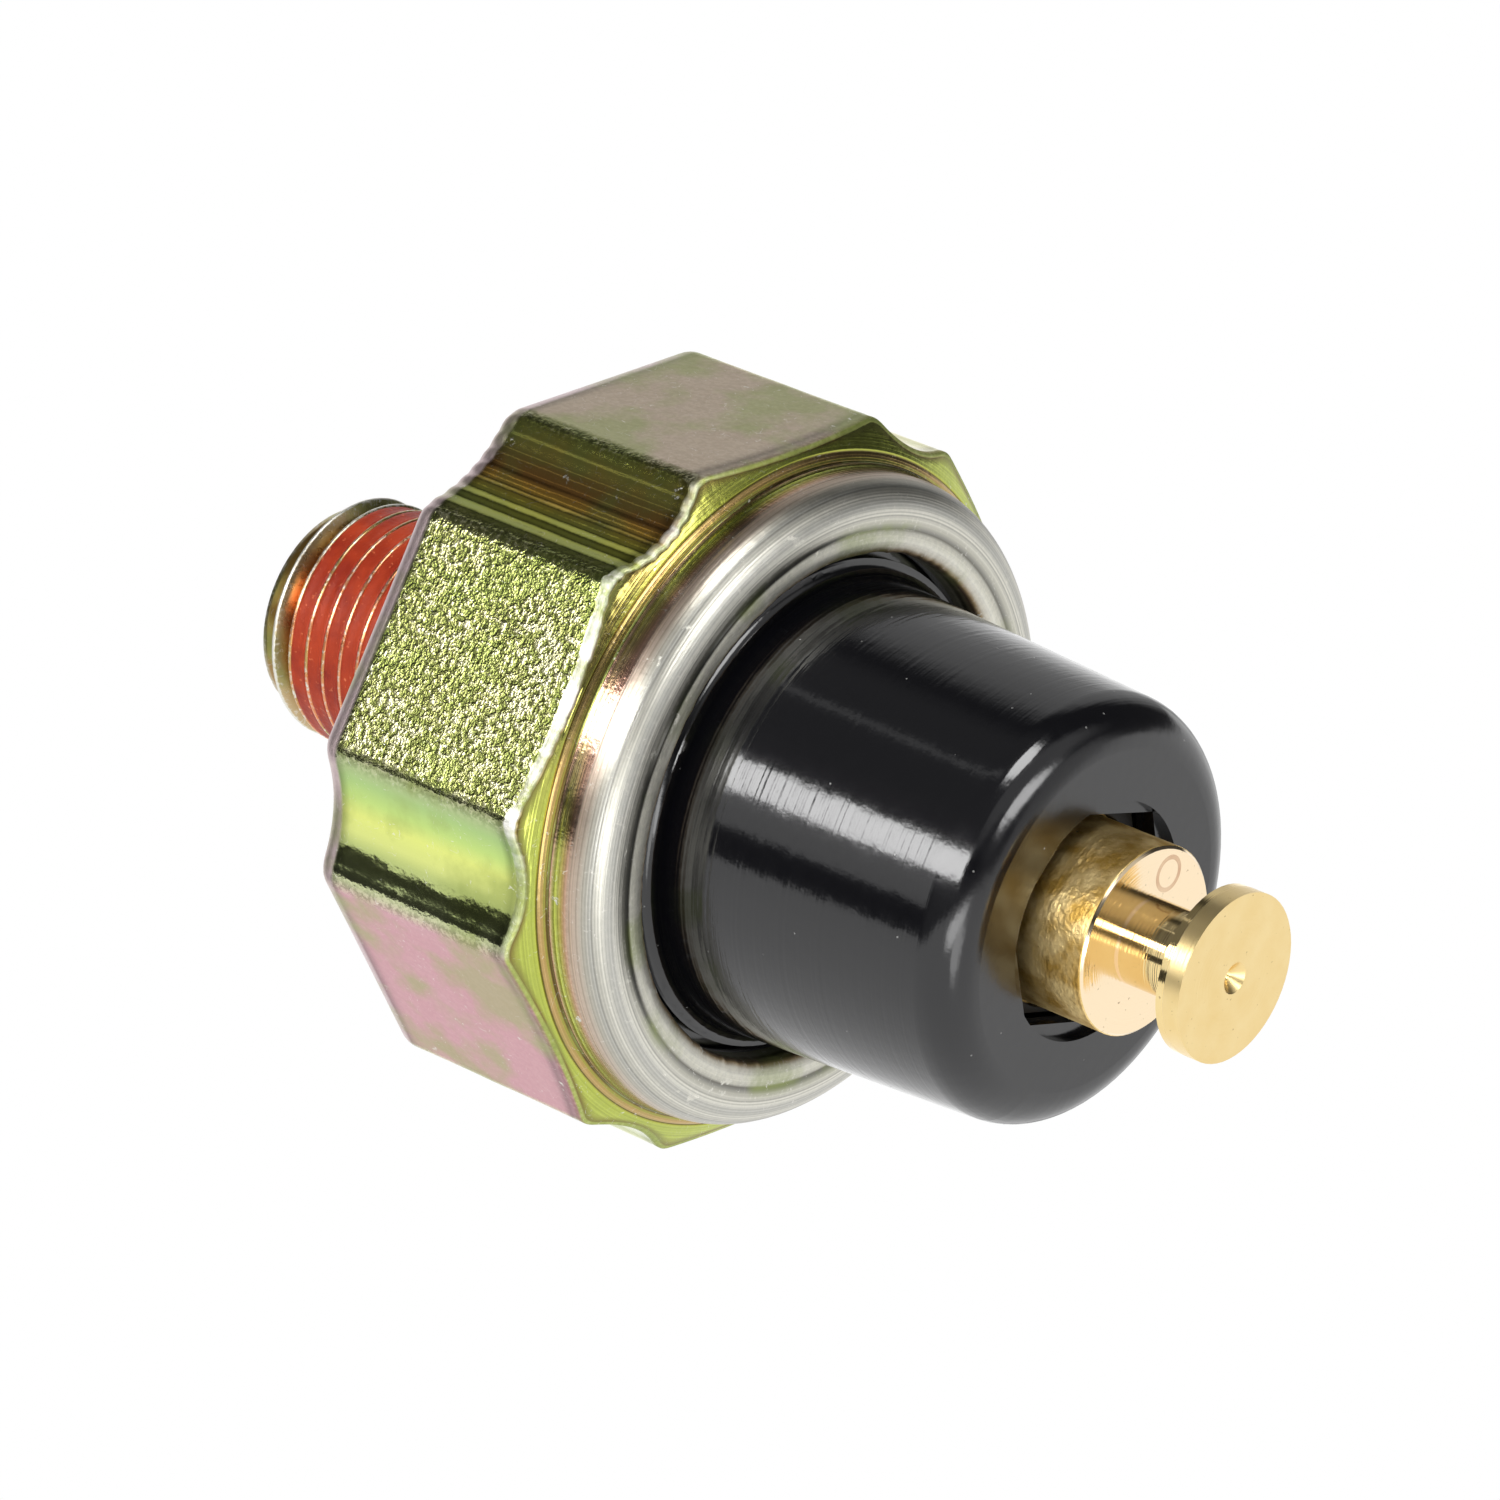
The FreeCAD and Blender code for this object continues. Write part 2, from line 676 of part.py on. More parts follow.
terminal_stud = new_body("terminal_stud")
key_hexagon = new_sketch(terminal_stud, "key_hexagon", "XY_Plane", pocket_floor_z, POCKET_TURN_DEG)
draw_hexagon(key_hexagon, dims.key_flats)
padded(terminal_stud, key_hexagon, "key", dims.key)
turned(terminal_stud, "turned_stud", [
    (0.0, seat_bottom_z - dims.rivet),
    (dims.rivet_r - dims.edge_break, seat_bottom_z - dims.rivet),
    (dims.rivet_r, seat_bottom_z - dims.edge_break),
    (dims.rivet_r, seat_bottom_z),
    (dims.shank_r, seat_bottom_z),
    (dims.shank_r, key_top_z),
    (dims.collar_r, key_top_z),
    (dims.collar_r, dims.collar_z - dims.edge_break),
    (dims.collar_r - dims.edge_break, dims.collar_z),
    (dims.neck_r, dims.collar_z),
    (dims.neck_r, dims.shoulder_z),
    (dims.shoulder_r, dims.shoulder_z),
    (dims.shoulder_r, dims.head_z),
    (dims.head_r, dims.head_z),
    (dims.head_r, head_top_z),
    (0.0, head_top_z),
])
bored(terminal_stud, "centre_mark", [(0.0, head_top_z - dims.mark), (dims.mark_r, head_top_z), (0.0, head_top_z)])

terminal_seal = new_body("terminal_seal")
seal_blank = new_sketch(terminal_seal, "seal_hexagon", "XY_Plane", key_top_z, POCKET_TURN_DEG)
draw_hexagon(seal_blank, dims.key_flats)
padded(terminal_seal, seal_blank, "seal", dims.terminal_seal)
seal_hole = new_sketch(terminal_seal, "seal_hole_circle", "XY_Plane", key_top_z + dims.terminal_seal)
draw_circle(seal_hole, 0.0, 0.0, dims.collar_r + dims.stack_gap)
pocketed(terminal_seal, seal_hole, "collar_hole", dims.terminal_seal)

# ---------------------------------------------------------------------------------------------------------
# Every object is checked before anything is written
# ---------------------------------------------------------------------------------------------------------
doc.recompute()
for item in doc.Objects:
    if "Invalid" in item.State or "Error" in item.State:
        raise RuntimeError(f"{item.Name} failed: {item.State}")
for node in nodes:
    if node.Shape.isNull() or not node.Shape.isValid():
        raise RuntimeError(node.Label + " has no valid shape")

os.makedirs("parts", exist_ok=True)
for node in nodes:
    node.Shape.exportStep(f"parts/{node.Label}.step")
    box = node.Shape.BoundBox
    print(f"{node.Label:24s} {len(node.Shape.Solids)} solids  {node.Shape.Volume:9.2f} mm3  "
          f"z {box.ZMin:7.2f} to {box.ZMax:7.2f}")
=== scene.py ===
import math

import bpy
import numpy as np
from mathutils import Matrix


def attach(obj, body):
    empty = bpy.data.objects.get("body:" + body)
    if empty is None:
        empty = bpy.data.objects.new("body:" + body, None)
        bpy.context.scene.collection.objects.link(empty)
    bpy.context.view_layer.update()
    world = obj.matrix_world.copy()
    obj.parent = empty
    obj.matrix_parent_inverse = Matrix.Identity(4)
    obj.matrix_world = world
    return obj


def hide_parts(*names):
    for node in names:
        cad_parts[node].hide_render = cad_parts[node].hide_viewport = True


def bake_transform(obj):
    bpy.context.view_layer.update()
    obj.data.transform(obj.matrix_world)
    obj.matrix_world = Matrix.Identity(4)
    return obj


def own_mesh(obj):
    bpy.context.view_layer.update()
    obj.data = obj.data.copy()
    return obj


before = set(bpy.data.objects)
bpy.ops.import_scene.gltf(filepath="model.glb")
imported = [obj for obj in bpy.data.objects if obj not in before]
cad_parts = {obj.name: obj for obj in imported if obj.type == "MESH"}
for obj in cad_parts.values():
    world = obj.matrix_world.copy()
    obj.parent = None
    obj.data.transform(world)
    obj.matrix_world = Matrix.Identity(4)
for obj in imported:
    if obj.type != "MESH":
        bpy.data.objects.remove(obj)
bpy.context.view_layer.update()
MM = 0.001
draws = np.random.default_rng(27)

# ------------------------------
# Hexagon body. A cold-headed steel blank, 27 mm across flats, with a scoop down each corner,
# turned on its front face and its taper thread, zinc plated and yellow passivated. Its rim is
# spun over the insulator's flange as the last step, which leaves fine rings on the roll.
# ------------------------------
HALF_FLATS = 13.5
SCOOP_CENTRE, SCOOP_R = 19.6, 6.0
RIDGE_SOFTNESS, SCOOP_HALF_ANGLE = 0.5, 10.4
THREAD_END, SHOULDER = -12.5, 0.0
CREST_END, TAPER = 4.74, 1 / 32
PITCH, THREAD_DEPTH = 0.907, 0.581
REAR_ROUND = 1.2
FACE_R, FACE_Z, FACE_FALL = 12.7, 10.6, 0.5
RIM_TOP, ROLL_R, RIM_R = 12.8, 1.3, 12.6


def linear(colour):
    """An sRGB hex colour as the linear red, green, blue and alpha that a shader takes."""
    parts = [int(colour[k:k + 2], 16) / 255 for k in (1, 3, 5)]
    return [c / 12.92 if c <= 0.04045 else ((c + 0.055) / 1.055) ** 2.4 for c in parts] + [1.0]


# Columns stand closest together across the corner scoops, where the outline turns fastest, and
# some more stand between the others on the flat towards -Y, where the burr is most ragged.
DENSE_TO = 14.4
BURR_COLUMNS_FROM, BURR_COLUMN_STEP, BURR_COLUMNS = 255.27, 1.733, 18
half = np.concatenate([np.linspace(0, DENSE_TO, 31)[:-1], np.linspace(DENSE_TO, 30, 10)])
sector = np.concatenate([half, 60 - half[1:-1][::-1]])
degrees = np.concatenate([sector + 60 * corner for corner in range(6)])
burr_columns = BURR_COLUMNS_FROM + BURR_COLUMN_STEP * np.arange(BURR_COLUMNS)
degrees = np.sort(np.concatenate([degrees, burr_columns]))
angle = np.radians(degrees)
off_corner = (degrees + 30) % 60 - 30
corner_index = np.round(degrees / 60).astype(int) % 6
flat_index = np.floor(degrees / 60).astype(int) % 6


def hexagon_radius(off):
    """Radius of the outline at an angle from the nearest corner: flat and scoop, softly joined."""
    flat = HALF_FLATS / np.cos(np.radians(30 - np.abs(off)))
    inside = np.maximum(SCOOP_R**2 - (SCOOP_CENTRE * np.sin(np.radians(off))) ** 2, 0)
    scoop = np.where(inside > 0, SCOOP_CENTRE * np.cos(np.radians(off)) - np.sqrt(inside), 99.0)
    blend = np.clip(0.5 + 0.5 * (scoop - flat) / RIDGE_SOFTNESS, 0, 1)
    return scoop * (1 - blend) + flat * blend - RIDGE_SOFTNESS * blend * (1 - blend)


def smooth_noise(shape, cells, wrap=True):
    """Random waves from -1 to 1 over a grid, cells[0] by cells[1] of them, closed along axis 1."""
    knots = draws.uniform(-1, 1, cells)
    if wrap:
        knots = np.concatenate([knots, knots[:, :1]], axis=1)
    rows = np.linspace(0, knots.shape[0] - 1, shape[0])
    columns = np.linspace(0, knots.shape[1] - 1, shape[1] + wrap)[: shape[1]]
    top = np.minimum(rows.astype(int), knots.shape[0] - 2)
    left = np.minimum(columns.astype(int), knots.shape[1] - 2)
    down, right = (rows - top)[:, None], (columns - left)[None, :]
    down, right = down * down * (3 - 2 * down), right * right * (3 - 2 * right)
    before = knots[np.ix_(top, left)] * (1 - down) + knots[np.ix_(top + 1, left)] * down
    after = knots[np.ix_(top, left + 1)] * (1 - down) + knots[np.ix_(top + 1, left + 1)] * down
    return before * (1 - right) + after * right


# Each scoop keeps the fine lengthwise lines of the heading die, deepest in the one between -X and -Y.
in_scoop = np.clip((SCOOP_HALF_ANGLE + 1.6 - np.abs(off_corner)) / 2.2, 0, 1)
DIE_SCOOP, LIME_SCOOP = 4, 5
DIE_LINE_DEPTH, FAINT_LINE_DEPTH = 0.030, 0.0015
DIE_LINE_STEP, DIE_LINE_DRIFT = 3.4, 0.3
line_depth = np.where(corner_index == DIE_SCOOP, DIE_LINE_DEPTH, FAINT_LINE_DEPTH)
line_phase = 2 * math.pi * off_corner / DIE_LINE_STEP + DIE_LINE_DRIFT * off_corner
outline = hexagon_radius(off_corner)
outline = outline - in_scoop * line_depth * (1 + np.sin(line_phase))

# The colour of the chromate film differs from flat to flat and from scoop to scoop, as does how
# coarse (grain) and how satin the plated surface is. The lists start at the corner at +X and go
# round towards +Y.
FLAT_COLOURS = ("#BBA98E", "#A9B070", "#BDA79A", "#B8A692", "#90905A", "#C4929A")
SCOOP_COLOURS = ("#B7BC74", "#B4B46C", "#B7BC74", "#B9B070", "#9C9440", "#D2DA92")
FLAT_FILM = np.array([linear(c)[:3] for c in FLAT_COLOURS])
FLAT_GRAIN = np.array([0.2, 0.6, 0.3, 0.10, 0.8, 0.05])
FLAT_SATIN = np.array([0.3, 0.25, 0.3, 0.38, 0.2, 0.30])
SCOOP_FILM = np.array([linear(c)[:3] for c in SCOOP_COLOURS])
# Film colours across the die-lined scoop; their lighter gold middle is partly a painted reflection.
DIE_TINTS = ((-11, "#8A8A5C"), (-8.5, "#A09848"), (-7, "#B4A854"), (-5, "#A8904C"), (-3, "#A07C44"),
             (-1.5, "#AC7C40"), (0.5, "#CCA44C"), (2, "#BCA84C"), (4, "#B0B04C"), (7, "#A4A84C"),
             (11, "#8A8A60"))
LIME_TINTS = ((-11, "#A8AE88"), (-7, "#A6C47C"), (-4, "#BCD67C"), (-1, "#DCE480"), (2, "#D6DE86"),
              (4, "#B8C47C"), (8, "#C0CC90"), (11, "#C8C4AC"))


def tint_across(table):
    """Film colours across a scoop, read from a table of degrees from the corner and colours."""
    return np.stack([np.interp(off_corner, [t for t, _ in table], [linear(c)[k] for _, c in table])
                     for k in range(3)], axis=1)


scoop_film = SCOOP_FILM[corner_index]
for corner, table in ((DIE_SCOOP, DIE_TINTS), (LIME_SCOOP, LIME_TINTS)):
    scoop_film = np.where((corner_index == corner)[:, None], tint_across(table), scoop_film)
side_film = FLAT_FILM[flat_index] * (1 - in_scoop[:, None]) + scoop_film * in_scoop[:, None]
on_ridge = np.exp(-(((np.abs(off_corner) - SCOOP_HALF_ANGLE) / 1.3) ** 2))
ridge_grain = (0.45 + 0.3 * (corner_index == DIE_SCOOP)) * on_ridge
side_grain = np.maximum(FLAT_GRAIN[flat_index] * (1 - in_scoop), ridge_grain)
scoop_satin = np.where(corner_index == LIME_SCOOP, 0.09, 0.14)
side_satin = FLAT_SATIN[flat_index] * (1 - in_scoop) + scoop_satin * in_scoop

body_rows = []


def ring(r, z, film, satin=0.2, wear=0.0, grain=0.0, rings=0.0):
    """Adds a row: radius and height in mm, colour (mostly the film's; some rows carry painted shade
    and highlight), then how satin, worn, grainy and ringed.
    """
    colour = linear(film)[:3] if isinstance(film, str) else film
    body_rows.append([np.zeros_like(angle) + v for v in (r, z, satin, wear, grain, rings)]
                     + [np.zeros((len(angle), 3)) + colour])


def root_radius(z):
    return CREST_END - THREAD_DEPTH + (z - THREAD_END) * TAPER


ring(1.6, THREAD_END + 0.2, "#8A7448", 0.35, 0.3)
ring(1.8, THREAD_END, "#B8A070", 0.3, 0.5)
ring(2.9, THREAD_END, "#A8925C", 0.3, 0.1, rings=1)
ring(4.0, THREAD_END, "#B8A878", 0.3, 0.5, rings=1)
ring(4.14, THREAD_END + 0.06, "#B8A878", 0.3, 0.5)
for z in np.linspace(THREAD_END + 0.3, -1.0, 12):
    ring(root_radius(z), z, "#94743C", 0.3, 0.1)
for r, z in ((4.75, -0.75), (5.05, -0.55), (5.11, -0.2), (5.18, -0.06), (5.35, SHOULDER)):
    ring(r, z, "#A88E5C", 0.25, 0.1)
for share in (0.3, 0.6, 0.85):
    ring(5.35 + share * (outline - REAR_ROUND - 5.35), SHOULDER, "#B9A79A", 0.34, 0.15, rings=0.6)
for turn in np.radians(np.linspace(0, 82, 11)):
    ring(outline - REAR_ROUND * (1 - math.sin(turn)), REAR_ROUND * (1 - math.cos(turn)),
         "#C8B4B6", 0.42, 0.1, 0.1)

# The flats end at the turned face. The tool has thrown up a ragged bare burr along that edge,
# thickest on the flat that faces -Y, thinner in the scoops beside it, with a blob at two ridges.
edge_z = FACE_Z - FACE_FALL * (outline - FACE_R)
FLAT_ROWS = 24
flat_from = len(body_rows)
for share in np.linspace(0, 1, FLAT_ROWS):
    # The flats' film is darkened towards both ends as painted shade, and worn a little there.
    end_shade_and_wear = max(0.0, 1 - share / 0.05) + max(0.0, (share - 0.95) / 0.05)
    ring(outline, REAR_ROUND + share * (edge_z - 0.45 - REAR_ROUND), side_film * (1 - 0.5 * end_shade_and_wear),
         side_satin, 0.2 * end_shade_and_wear, side_grain)
flat_to = len(body_rows)
BURR_CENTRE, BURR_SPREAD = 268, 37
off_front = (degrees - BURR_CENTRE + 180) % 360 - 180
burr_here = np.exp(-((off_front / BURR_SPREAD) ** 6)) * np.where(np.abs(off_corner) < 9, 0.55, 1.0)
ragged = smooth_noise((1, len(angle)), (2, 410))[0]
coarse = smooth_noise((1, len(angle)), (2, 66))[0]
blob = np.exp(-(((degrees - 250.8) / 0.9) ** 2)) + 0.7 * np.exp(-(((degrees - 289.5) / 0.7) ** 2))
burr = burr_here * np.clip(0.15 + 0.12 * ragged + 0.07 * coarse, 0.02, 0.27) + 0.12 * blob


def burred(film):
    """A film colour along the edge, giving way to bare zinc where the burr is thick."""
    bare_share = np.clip(burr_here * (0.85 + 0.5 * coarse + 0.6 * ragged), 0, 1)[:, None]
    bare_zinc = np.array(linear("#F4F3EE")[:3])
    return np.zeros((len(angle), 3)) + film * (1 - bare_share) + bare_zinc * bare_share


lime_edge = np.array(linear("#AEB668")[:3])
# The film runs to brown on the turned face and to pink on the rim's wall, on the side towards -Y,
# centred where the lamp is reflected there: both tints are partly film colour and partly painted reflection.
BROWN_CENTRE, BROWN_SPREAD = 256, 24
PINK_CENTRE, PINK_SPREAD = 268, 17
brown_film_and_reflection = np.exp(-(((degrees - BROWN_CENTRE) / BROWN_SPREAD) ** 2))[:, None]
pink_film_and_highlight = np.exp(-(((degrees - PINK_CENTRE) / PINK_SPREAD) ** 2))[:, None]


def browned(film, other, share):
    """A film colour that turns to another where share, from 0 to 1 round the body, is high."""
    return np.array(linear(film)[:3]) * (1 - share) + np.array(linear(other)[:3]) * share


# Just under the burr the film is darkened, most in the small dip below it: painted shade.
ring(outline - 0.012, edge_z - 0.30 - 0.35 * burr, side_film * 0.6, side_satin, 0.2 * burr_here,
     side_grain)
ring(outline - 0.002, edge_z - 0.14 - 0.6 * burr, burred(side_film * 0.7), 0.55, 0.4 * burr_here, 0.2)
ring(outline - 0.004, edge_z - 0.05, burred(side_film * 0.8), 0.55, 0.4 * burr_here, 0.2)
ring(outline - 0.05, edge_z + 0.02 + 0.5 * burr, burred(lime_edge), 0.5, 0.4 * burr_here, 0.2)
ring(outline - 0.13 - 0.2 * burr, edge_z + 0.06 + 0.35 * burr, burred(lime_edge), 0.38,
     0.3 * burr_here, 0.15)
# A dark olive row between the burr and the turned face: painted shade in the crease.
ring(outline - 0.19 - 0.5 * burr, edge_z + 0.09, "#7E7040", 0.25)
for share in (0.35, 0.75):
    here = outline - 0.26 - share * (outline - 0.26 - 13.2)
    ring(here, FACE_Z - FACE_FALL * (here - FACE_R), browned("#B6C05C", "#A08C50", brown_film_and_reflection),
         0.2, 0.0, 0.04, 0.6)
# The tool's marks on the face: radius, how far it is sunk, and the colour: the film's, except
# that the darker rows where the face is sunk are painted shade in the grooves.
FACE_BANDS = ((13.17, 0, "#B8C258"), (13.10, 0, "#A8A44C"), (13.075, 0.03, "#3E3A1C"),
              (13.04, 0, "#B89C64"), (12.97, 0, "#C0A06C"), (12.89, 0, "#B49A5C"),
              (12.82, 0, "#A6A44C"), (12.77, 0.01, "#8A7440"))
for here, sink, film in FACE_BANDS:
    ring(here, FACE_Z - FACE_FALL * (here - FACE_R) - sink, browned(film, "#94784A", 0.5 * brown_film_and_reflection),
         0.2, 0.0, 0.04, 0.7)
# Dark rows down into the foot of the rim's wall: painted shade in the corner.
ring(12.74, FACE_Z - 0.03, "#4E4426", 0.3)
ring(12.70, FACE_Z + 0.03, "#7C6A40", 0.25, 0.2)
WALL_BANDS = ("#C9A290", "#BCB070", "#B4BC5C", "#B8C05C", "#B6B25C", "#B0A058", "#B29468",
              "#C09C84", "#BEA894")
for step, film in enumerate(WALL_BANDS):
    share = (step + 0.5) / len(WALL_BANDS)
    ring(FACE_R - share * (FACE_R - RIM_R), FACE_Z + share * (RIM_TOP - ROLL_R - FACE_Z),
         browned(film, "#BE9484", 0.85 * pink_film_and_highlight), 0.16, 0.02 * step, 0.12, 1.0)
# Tones across the roll from its foot to its top: zinc and film colours whose lighter and darker bands are
# partly painted reflection.
ROLL_BANDS = ((0, "#BEA898"), (0.15, "#C0B0A0"), (0.3, "#B8B4A8"), (0.42, "#ACABA4"), (0.5, "#BEBCB2"),
              (0.62, "#CCCAC0"), (0.72, "#BAB9B2"), (0.8, "#C4C3BC"), (0.9, "#D6D4CA"), (1.0, "#D4D2C8"))
# The spinning tool leaves shallow grooves round the roll; their colour is lightened where they are
# deepest, a painted highlight along each groove.
GROOVE_DEPTH, GROOVES_PER_TURN, GROOVE_HIGHLIGHT = 0.007, 68, 24
for turn in np.radians(np.linspace(0, 90, 56))[1:]:
    share = turn / (math.pi / 2)
    groove = GROOVE_DEPTH * math.sin(turn * GROOVES_PER_TURN) * min(1.0, 2 * share)
    tint = [np.interp(share, [s for s, _ in ROLL_BANDS], [linear(c)[k] for _, c in ROLL_BANDS])
            for k in range(3)]
    ring(RIM_R - (ROLL_R + groove) * (1 - math.cos(turn)),
         RIM_TOP - (ROLL_R + groove) * (1 - math.sin(turn)),
         np.array(tint) * (1 + GROOVE_HIGHLIGHT * groove), 0.34 + 0.16 * max(0.0, share - 0.4), 0.3 * share,
         0.05, 1.0)
ring(11.05, 12.795, "#B8B6AA", 0.3, 0.3, 0, 0.6)
# Two darker rows in the dip between the roll and the lip: painted shade.
ring(10.88, 12.78, "#8C8B84", 0.3)
ring(10.80, 12.75, "#74726A", 0.3)
lip_chips = smooth_noise((1, len(angle)), (2, 150))[0]
LIP_BANDS = ((10.70, 12.77, 0.0, "#C2C0B6"), (10.5, 12.79, 0.0, "#DAD8CC"),
             (10.28, 12.77, 0.01, "#DEDCD2"), (10.08, 12.70, 0.02, "#D2CDC0"),
             (9.94, 12.64, 0.03, "#B49C78"))
for r, z, chipped, film in LIP_BANDS:
    ring(r + chipped * lip_chips, z, film, 0.48, 0.3, 0.1, 0.3)
ring(9.84 + 0.035 * lip_chips, 12.52, "#5E4C38", 0.5)
# Under the lip, then the stack's bore, the seal's groove, the chamber, the plug's seat and the port.
INSIDE = ((9.82, 12.1), (9.84, 11.53), (9.95, 11.5), (11.35, 11.5), (11.4, 11.45), (11.4, 9.9),
          (11.4, 7.9), (11.4, 6.4), (11.4, 5.3), (11.4, 4.15), (9.0, 4.15), (9.0, 5.25), (7.05, 5.25),
          (7.0, 5.2), (7.0, 4.3), (6.9, 4.25), (2.5, 4.25), (2.4, 4.15), (2.4, 2.05), (1.6, 2.05),
          (1.6, -1.0), (1.6, -6.0))
for r, z in INSIDE:
    ring(r, z, "#8E8A6A", 0.3)

body_r, body_z, body_satin, body_wear, body_grain, body_rings = (
    np.array([row[k] for row in body_rows]) for k in range(6))
body_film_and_painted_light = np.array([row[6] for row in body_rows])

# Cold heading leaves the flats a little wavy. The rim's wall is never quite true either, but here it is left
# round.
waves = smooth_noise((flat_to - flat_from, len(angle)), (7, 90))
fade = np.sin(np.linspace(0, math.pi, flat_to - flat_from))[:, None] ** 0.5
body_r[flat_from:flat_to] -= 0.012 * (1 + waves) * fade

# The thread's ridge is one long strip wound on the shank, and its crest is left a little flat.
# The first turns are plated; past them the crests carry a thin smear of sealant.
TURN_STEPS = 72
BARE_TURNS = 1.5
turns = np.arange(0, int(TURN_STEPS * 12.2)) / TURN_STEPS
along = THREAD_END + 0.42 + turns * PITCH
crest = CREST_END + (along - THREAD_END) * TAPER
end_chamfer = np.clip((along - THREAD_END) / 0.5, 0.1, 1)
tail = np.clip((turns[-1] - turns) / 0.3, 0.02, 1)
ridge_height = THREAD_DEPTH * np.minimum(end_chamfer, tail)
RIDGE = ((-0.46, -0.12), (-0.40, 0.02), (-0.10, 0.88), (-0.05, 0.985), (0.0, 1.0), (0.05, 0.985),
         (0.10, 0.88), (0.40, 0.02), (0.46, -0.12), (0.0, -0.14))
strip_r = np.array([crest - THREAD_DEPTH + h * ridge_height for _, h in RIDGE])
strip_z = np.minimum(np.array([along + w * PITCH for w, _ in RIDGE]), -0.05)
strip_r[3:6] -= 0.012 * (1 + smooth_noise((1, len(turns)), (2, 260), False)[0])


def wound(radius, height, turn):
    """Points of a strip wound on the Z axis, from one row of radii and heights per section point."""
    return np.stack([radius * np.cos(2 * math.pi * turn), radius * np.sin(2 * math.pi * turn), height],
                    axis=-1).reshape(-1, 3)


def wound_faces(rows, columns):
    """Faces of a strip whose section is a closed loop of an even number of points, ends capped."""
    index = np.arange(rows * columns).reshape(rows, columns)
    following = np.roll(index, -1, axis=0)
    skin = np.stack([index[:, :-1], index[:, 1:], following[:, 1:], following[:, :-1]], axis=-1)
    pairs = [(k, rows - 1 - k) for k in range(rows // 2)]
    caps = [[index[i, c], index[j, c], index[m, c], index[n, c]][::order]
            for c, order in ((0, -1), (columns - 1, 1)) for (i, n), (j, m) in zip(pairs, pairs[1:])]
    return np.concatenate([skin.reshape(-1, 4), np.array(caps)])


past_bare = np.clip((turns - BARE_TURNS) / 0.3, 0, 1)[None, :, None]
flank = np.array([0, 0, 0.5, 1, 1, 1, 0.5, 0, 0, 0])[:, None, None]
plated = np.array(linear("#A07C44")[:3]) * (1 - flank) + np.array(linear("#DCCFAE")[:3]) * flank
smeared = np.array(linear("#A8401C")[:3]) * (1 - flank) + np.array(linear("#DC9468")[:3]) * flank
strip_film = (plated * (1 - past_bare) + smeared * past_bare).reshape(-1, 3)
strip_wear = (flank[..., 0] * (0.75 - 0.35 * past_bare[..., 0])).reshape(-1)


def grid_piece(name, points, faces, values, film=None):
    """A mesh from points in mm and four-cornered faces, with named values at its points."""
    mesh = bpy.data.meshes.new(name)
    mesh.vertices.add(len(points))
    mesh.vertices.foreach_set("co", (points * MM).astype(np.float32).reshape(-1))
    mesh.loops.add(faces.size)
    mesh.loops.foreach_set("vertex_index", faces.astype(np.int32).reshape(-1))
    mesh.polygons.add(len(faces))
    mesh.polygons.foreach_set("loop_start", np.arange(0, faces.size, 4, dtype=np.int32))
    for key, value in values.items():
        mesh.attributes.new(key, "FLOAT", "POINT").data.foreach_set("value", value.astype(np.float32))
    if film is not None:
        colours = np.concatenate([film, np.ones((len(film), 1))], axis=1).astype(np.float32)
        mesh.attributes.new("film", "FLOAT_COLOR", "POINT").data.foreach_set("color", colours.reshape(-1))
    mesh.update(calc_edges=True)
    mesh.validate()
    mesh.shade_smooth()
    piece = bpy.data.objects.new(name, mesh)
    bpy.context.scene.collection.objects.link(piece)
    return piece


def ring_faces(rows, columns):
    """Faces of a closed ring of rows, each row closed round the axis."""
    index = np.arange(rows * columns).reshape(rows, columns)
    across, up = np.roll(index, -1, axis=1), np.roll(index, -1, axis=0)
    return np.stack([index, across, np.roll(up, -1, axis=1), up], axis=-1).reshape(-1, 4)


body_points = np.stack([body_r * np.cos(angle), body_r * np.sin(angle), body_z], axis=-1).reshape(-1, 3)
strip_points = wound(strip_r, strip_z, turns)
strip_faces = wound_faces(len(RIDGE), len(turns)) + len(body_points)
strip_zeros = np.zeros(len(strip_points))
hex_body = grid_piece(
    "hex_body_shell", np.concatenate([body_points, strip_points]),
    np.concatenate([ring_faces(*body_r.shape), strip_faces]),
    {"satin": np.concatenate([body_satin.reshape(-1), strip_zeros + 0.28]),
     "wear": np.concatenate([body_wear.reshape(-1), strip_wear]),
     "grain": np.concatenate([body_grain.reshape(-1), strip_zeros + 0.05]),
     "rings": np.concatenate([body_rings.reshape(-1), strip_zeros])},
    np.concatenate([body_film_and_painted_light.reshape(-1, 3), strip_film]))


def per_mm(size):
    """Scale of a pattern whose features are that many mm across, for coordinates in metres."""
    return 1 / (size * MM)


def add(tree, kind, inputs=None, **settings):
    """Adds a shader node with its settings; each input takes a value or a link from a socket."""
    made = tree.nodes.new("ShaderNode" + kind)
    for key, value in settings.items():
        setattr(made, key, value)
    for key, value in (inputs or {}).items():
        if isinstance(value, bpy.types.NodeSocket):
            tree.links.new(value, made.inputs[key])
        else:
            made.inputs[key].default_value = value
    return made


def new_material(name):
    """An empty node material, its tree, and the coordinates fixed to the object, in metres."""
    made = bpy.data.materials.new(name)
    made.use_nodes = True
    made.node_tree.nodes.clear()
    place = add(made.node_tree, "TexCoord").outputs["Object"]
    return made, made.node_tree, place


def finish_material(tree, shader):
    add(tree, "OutputMaterial", {"Surface": shader.outputs[0]})


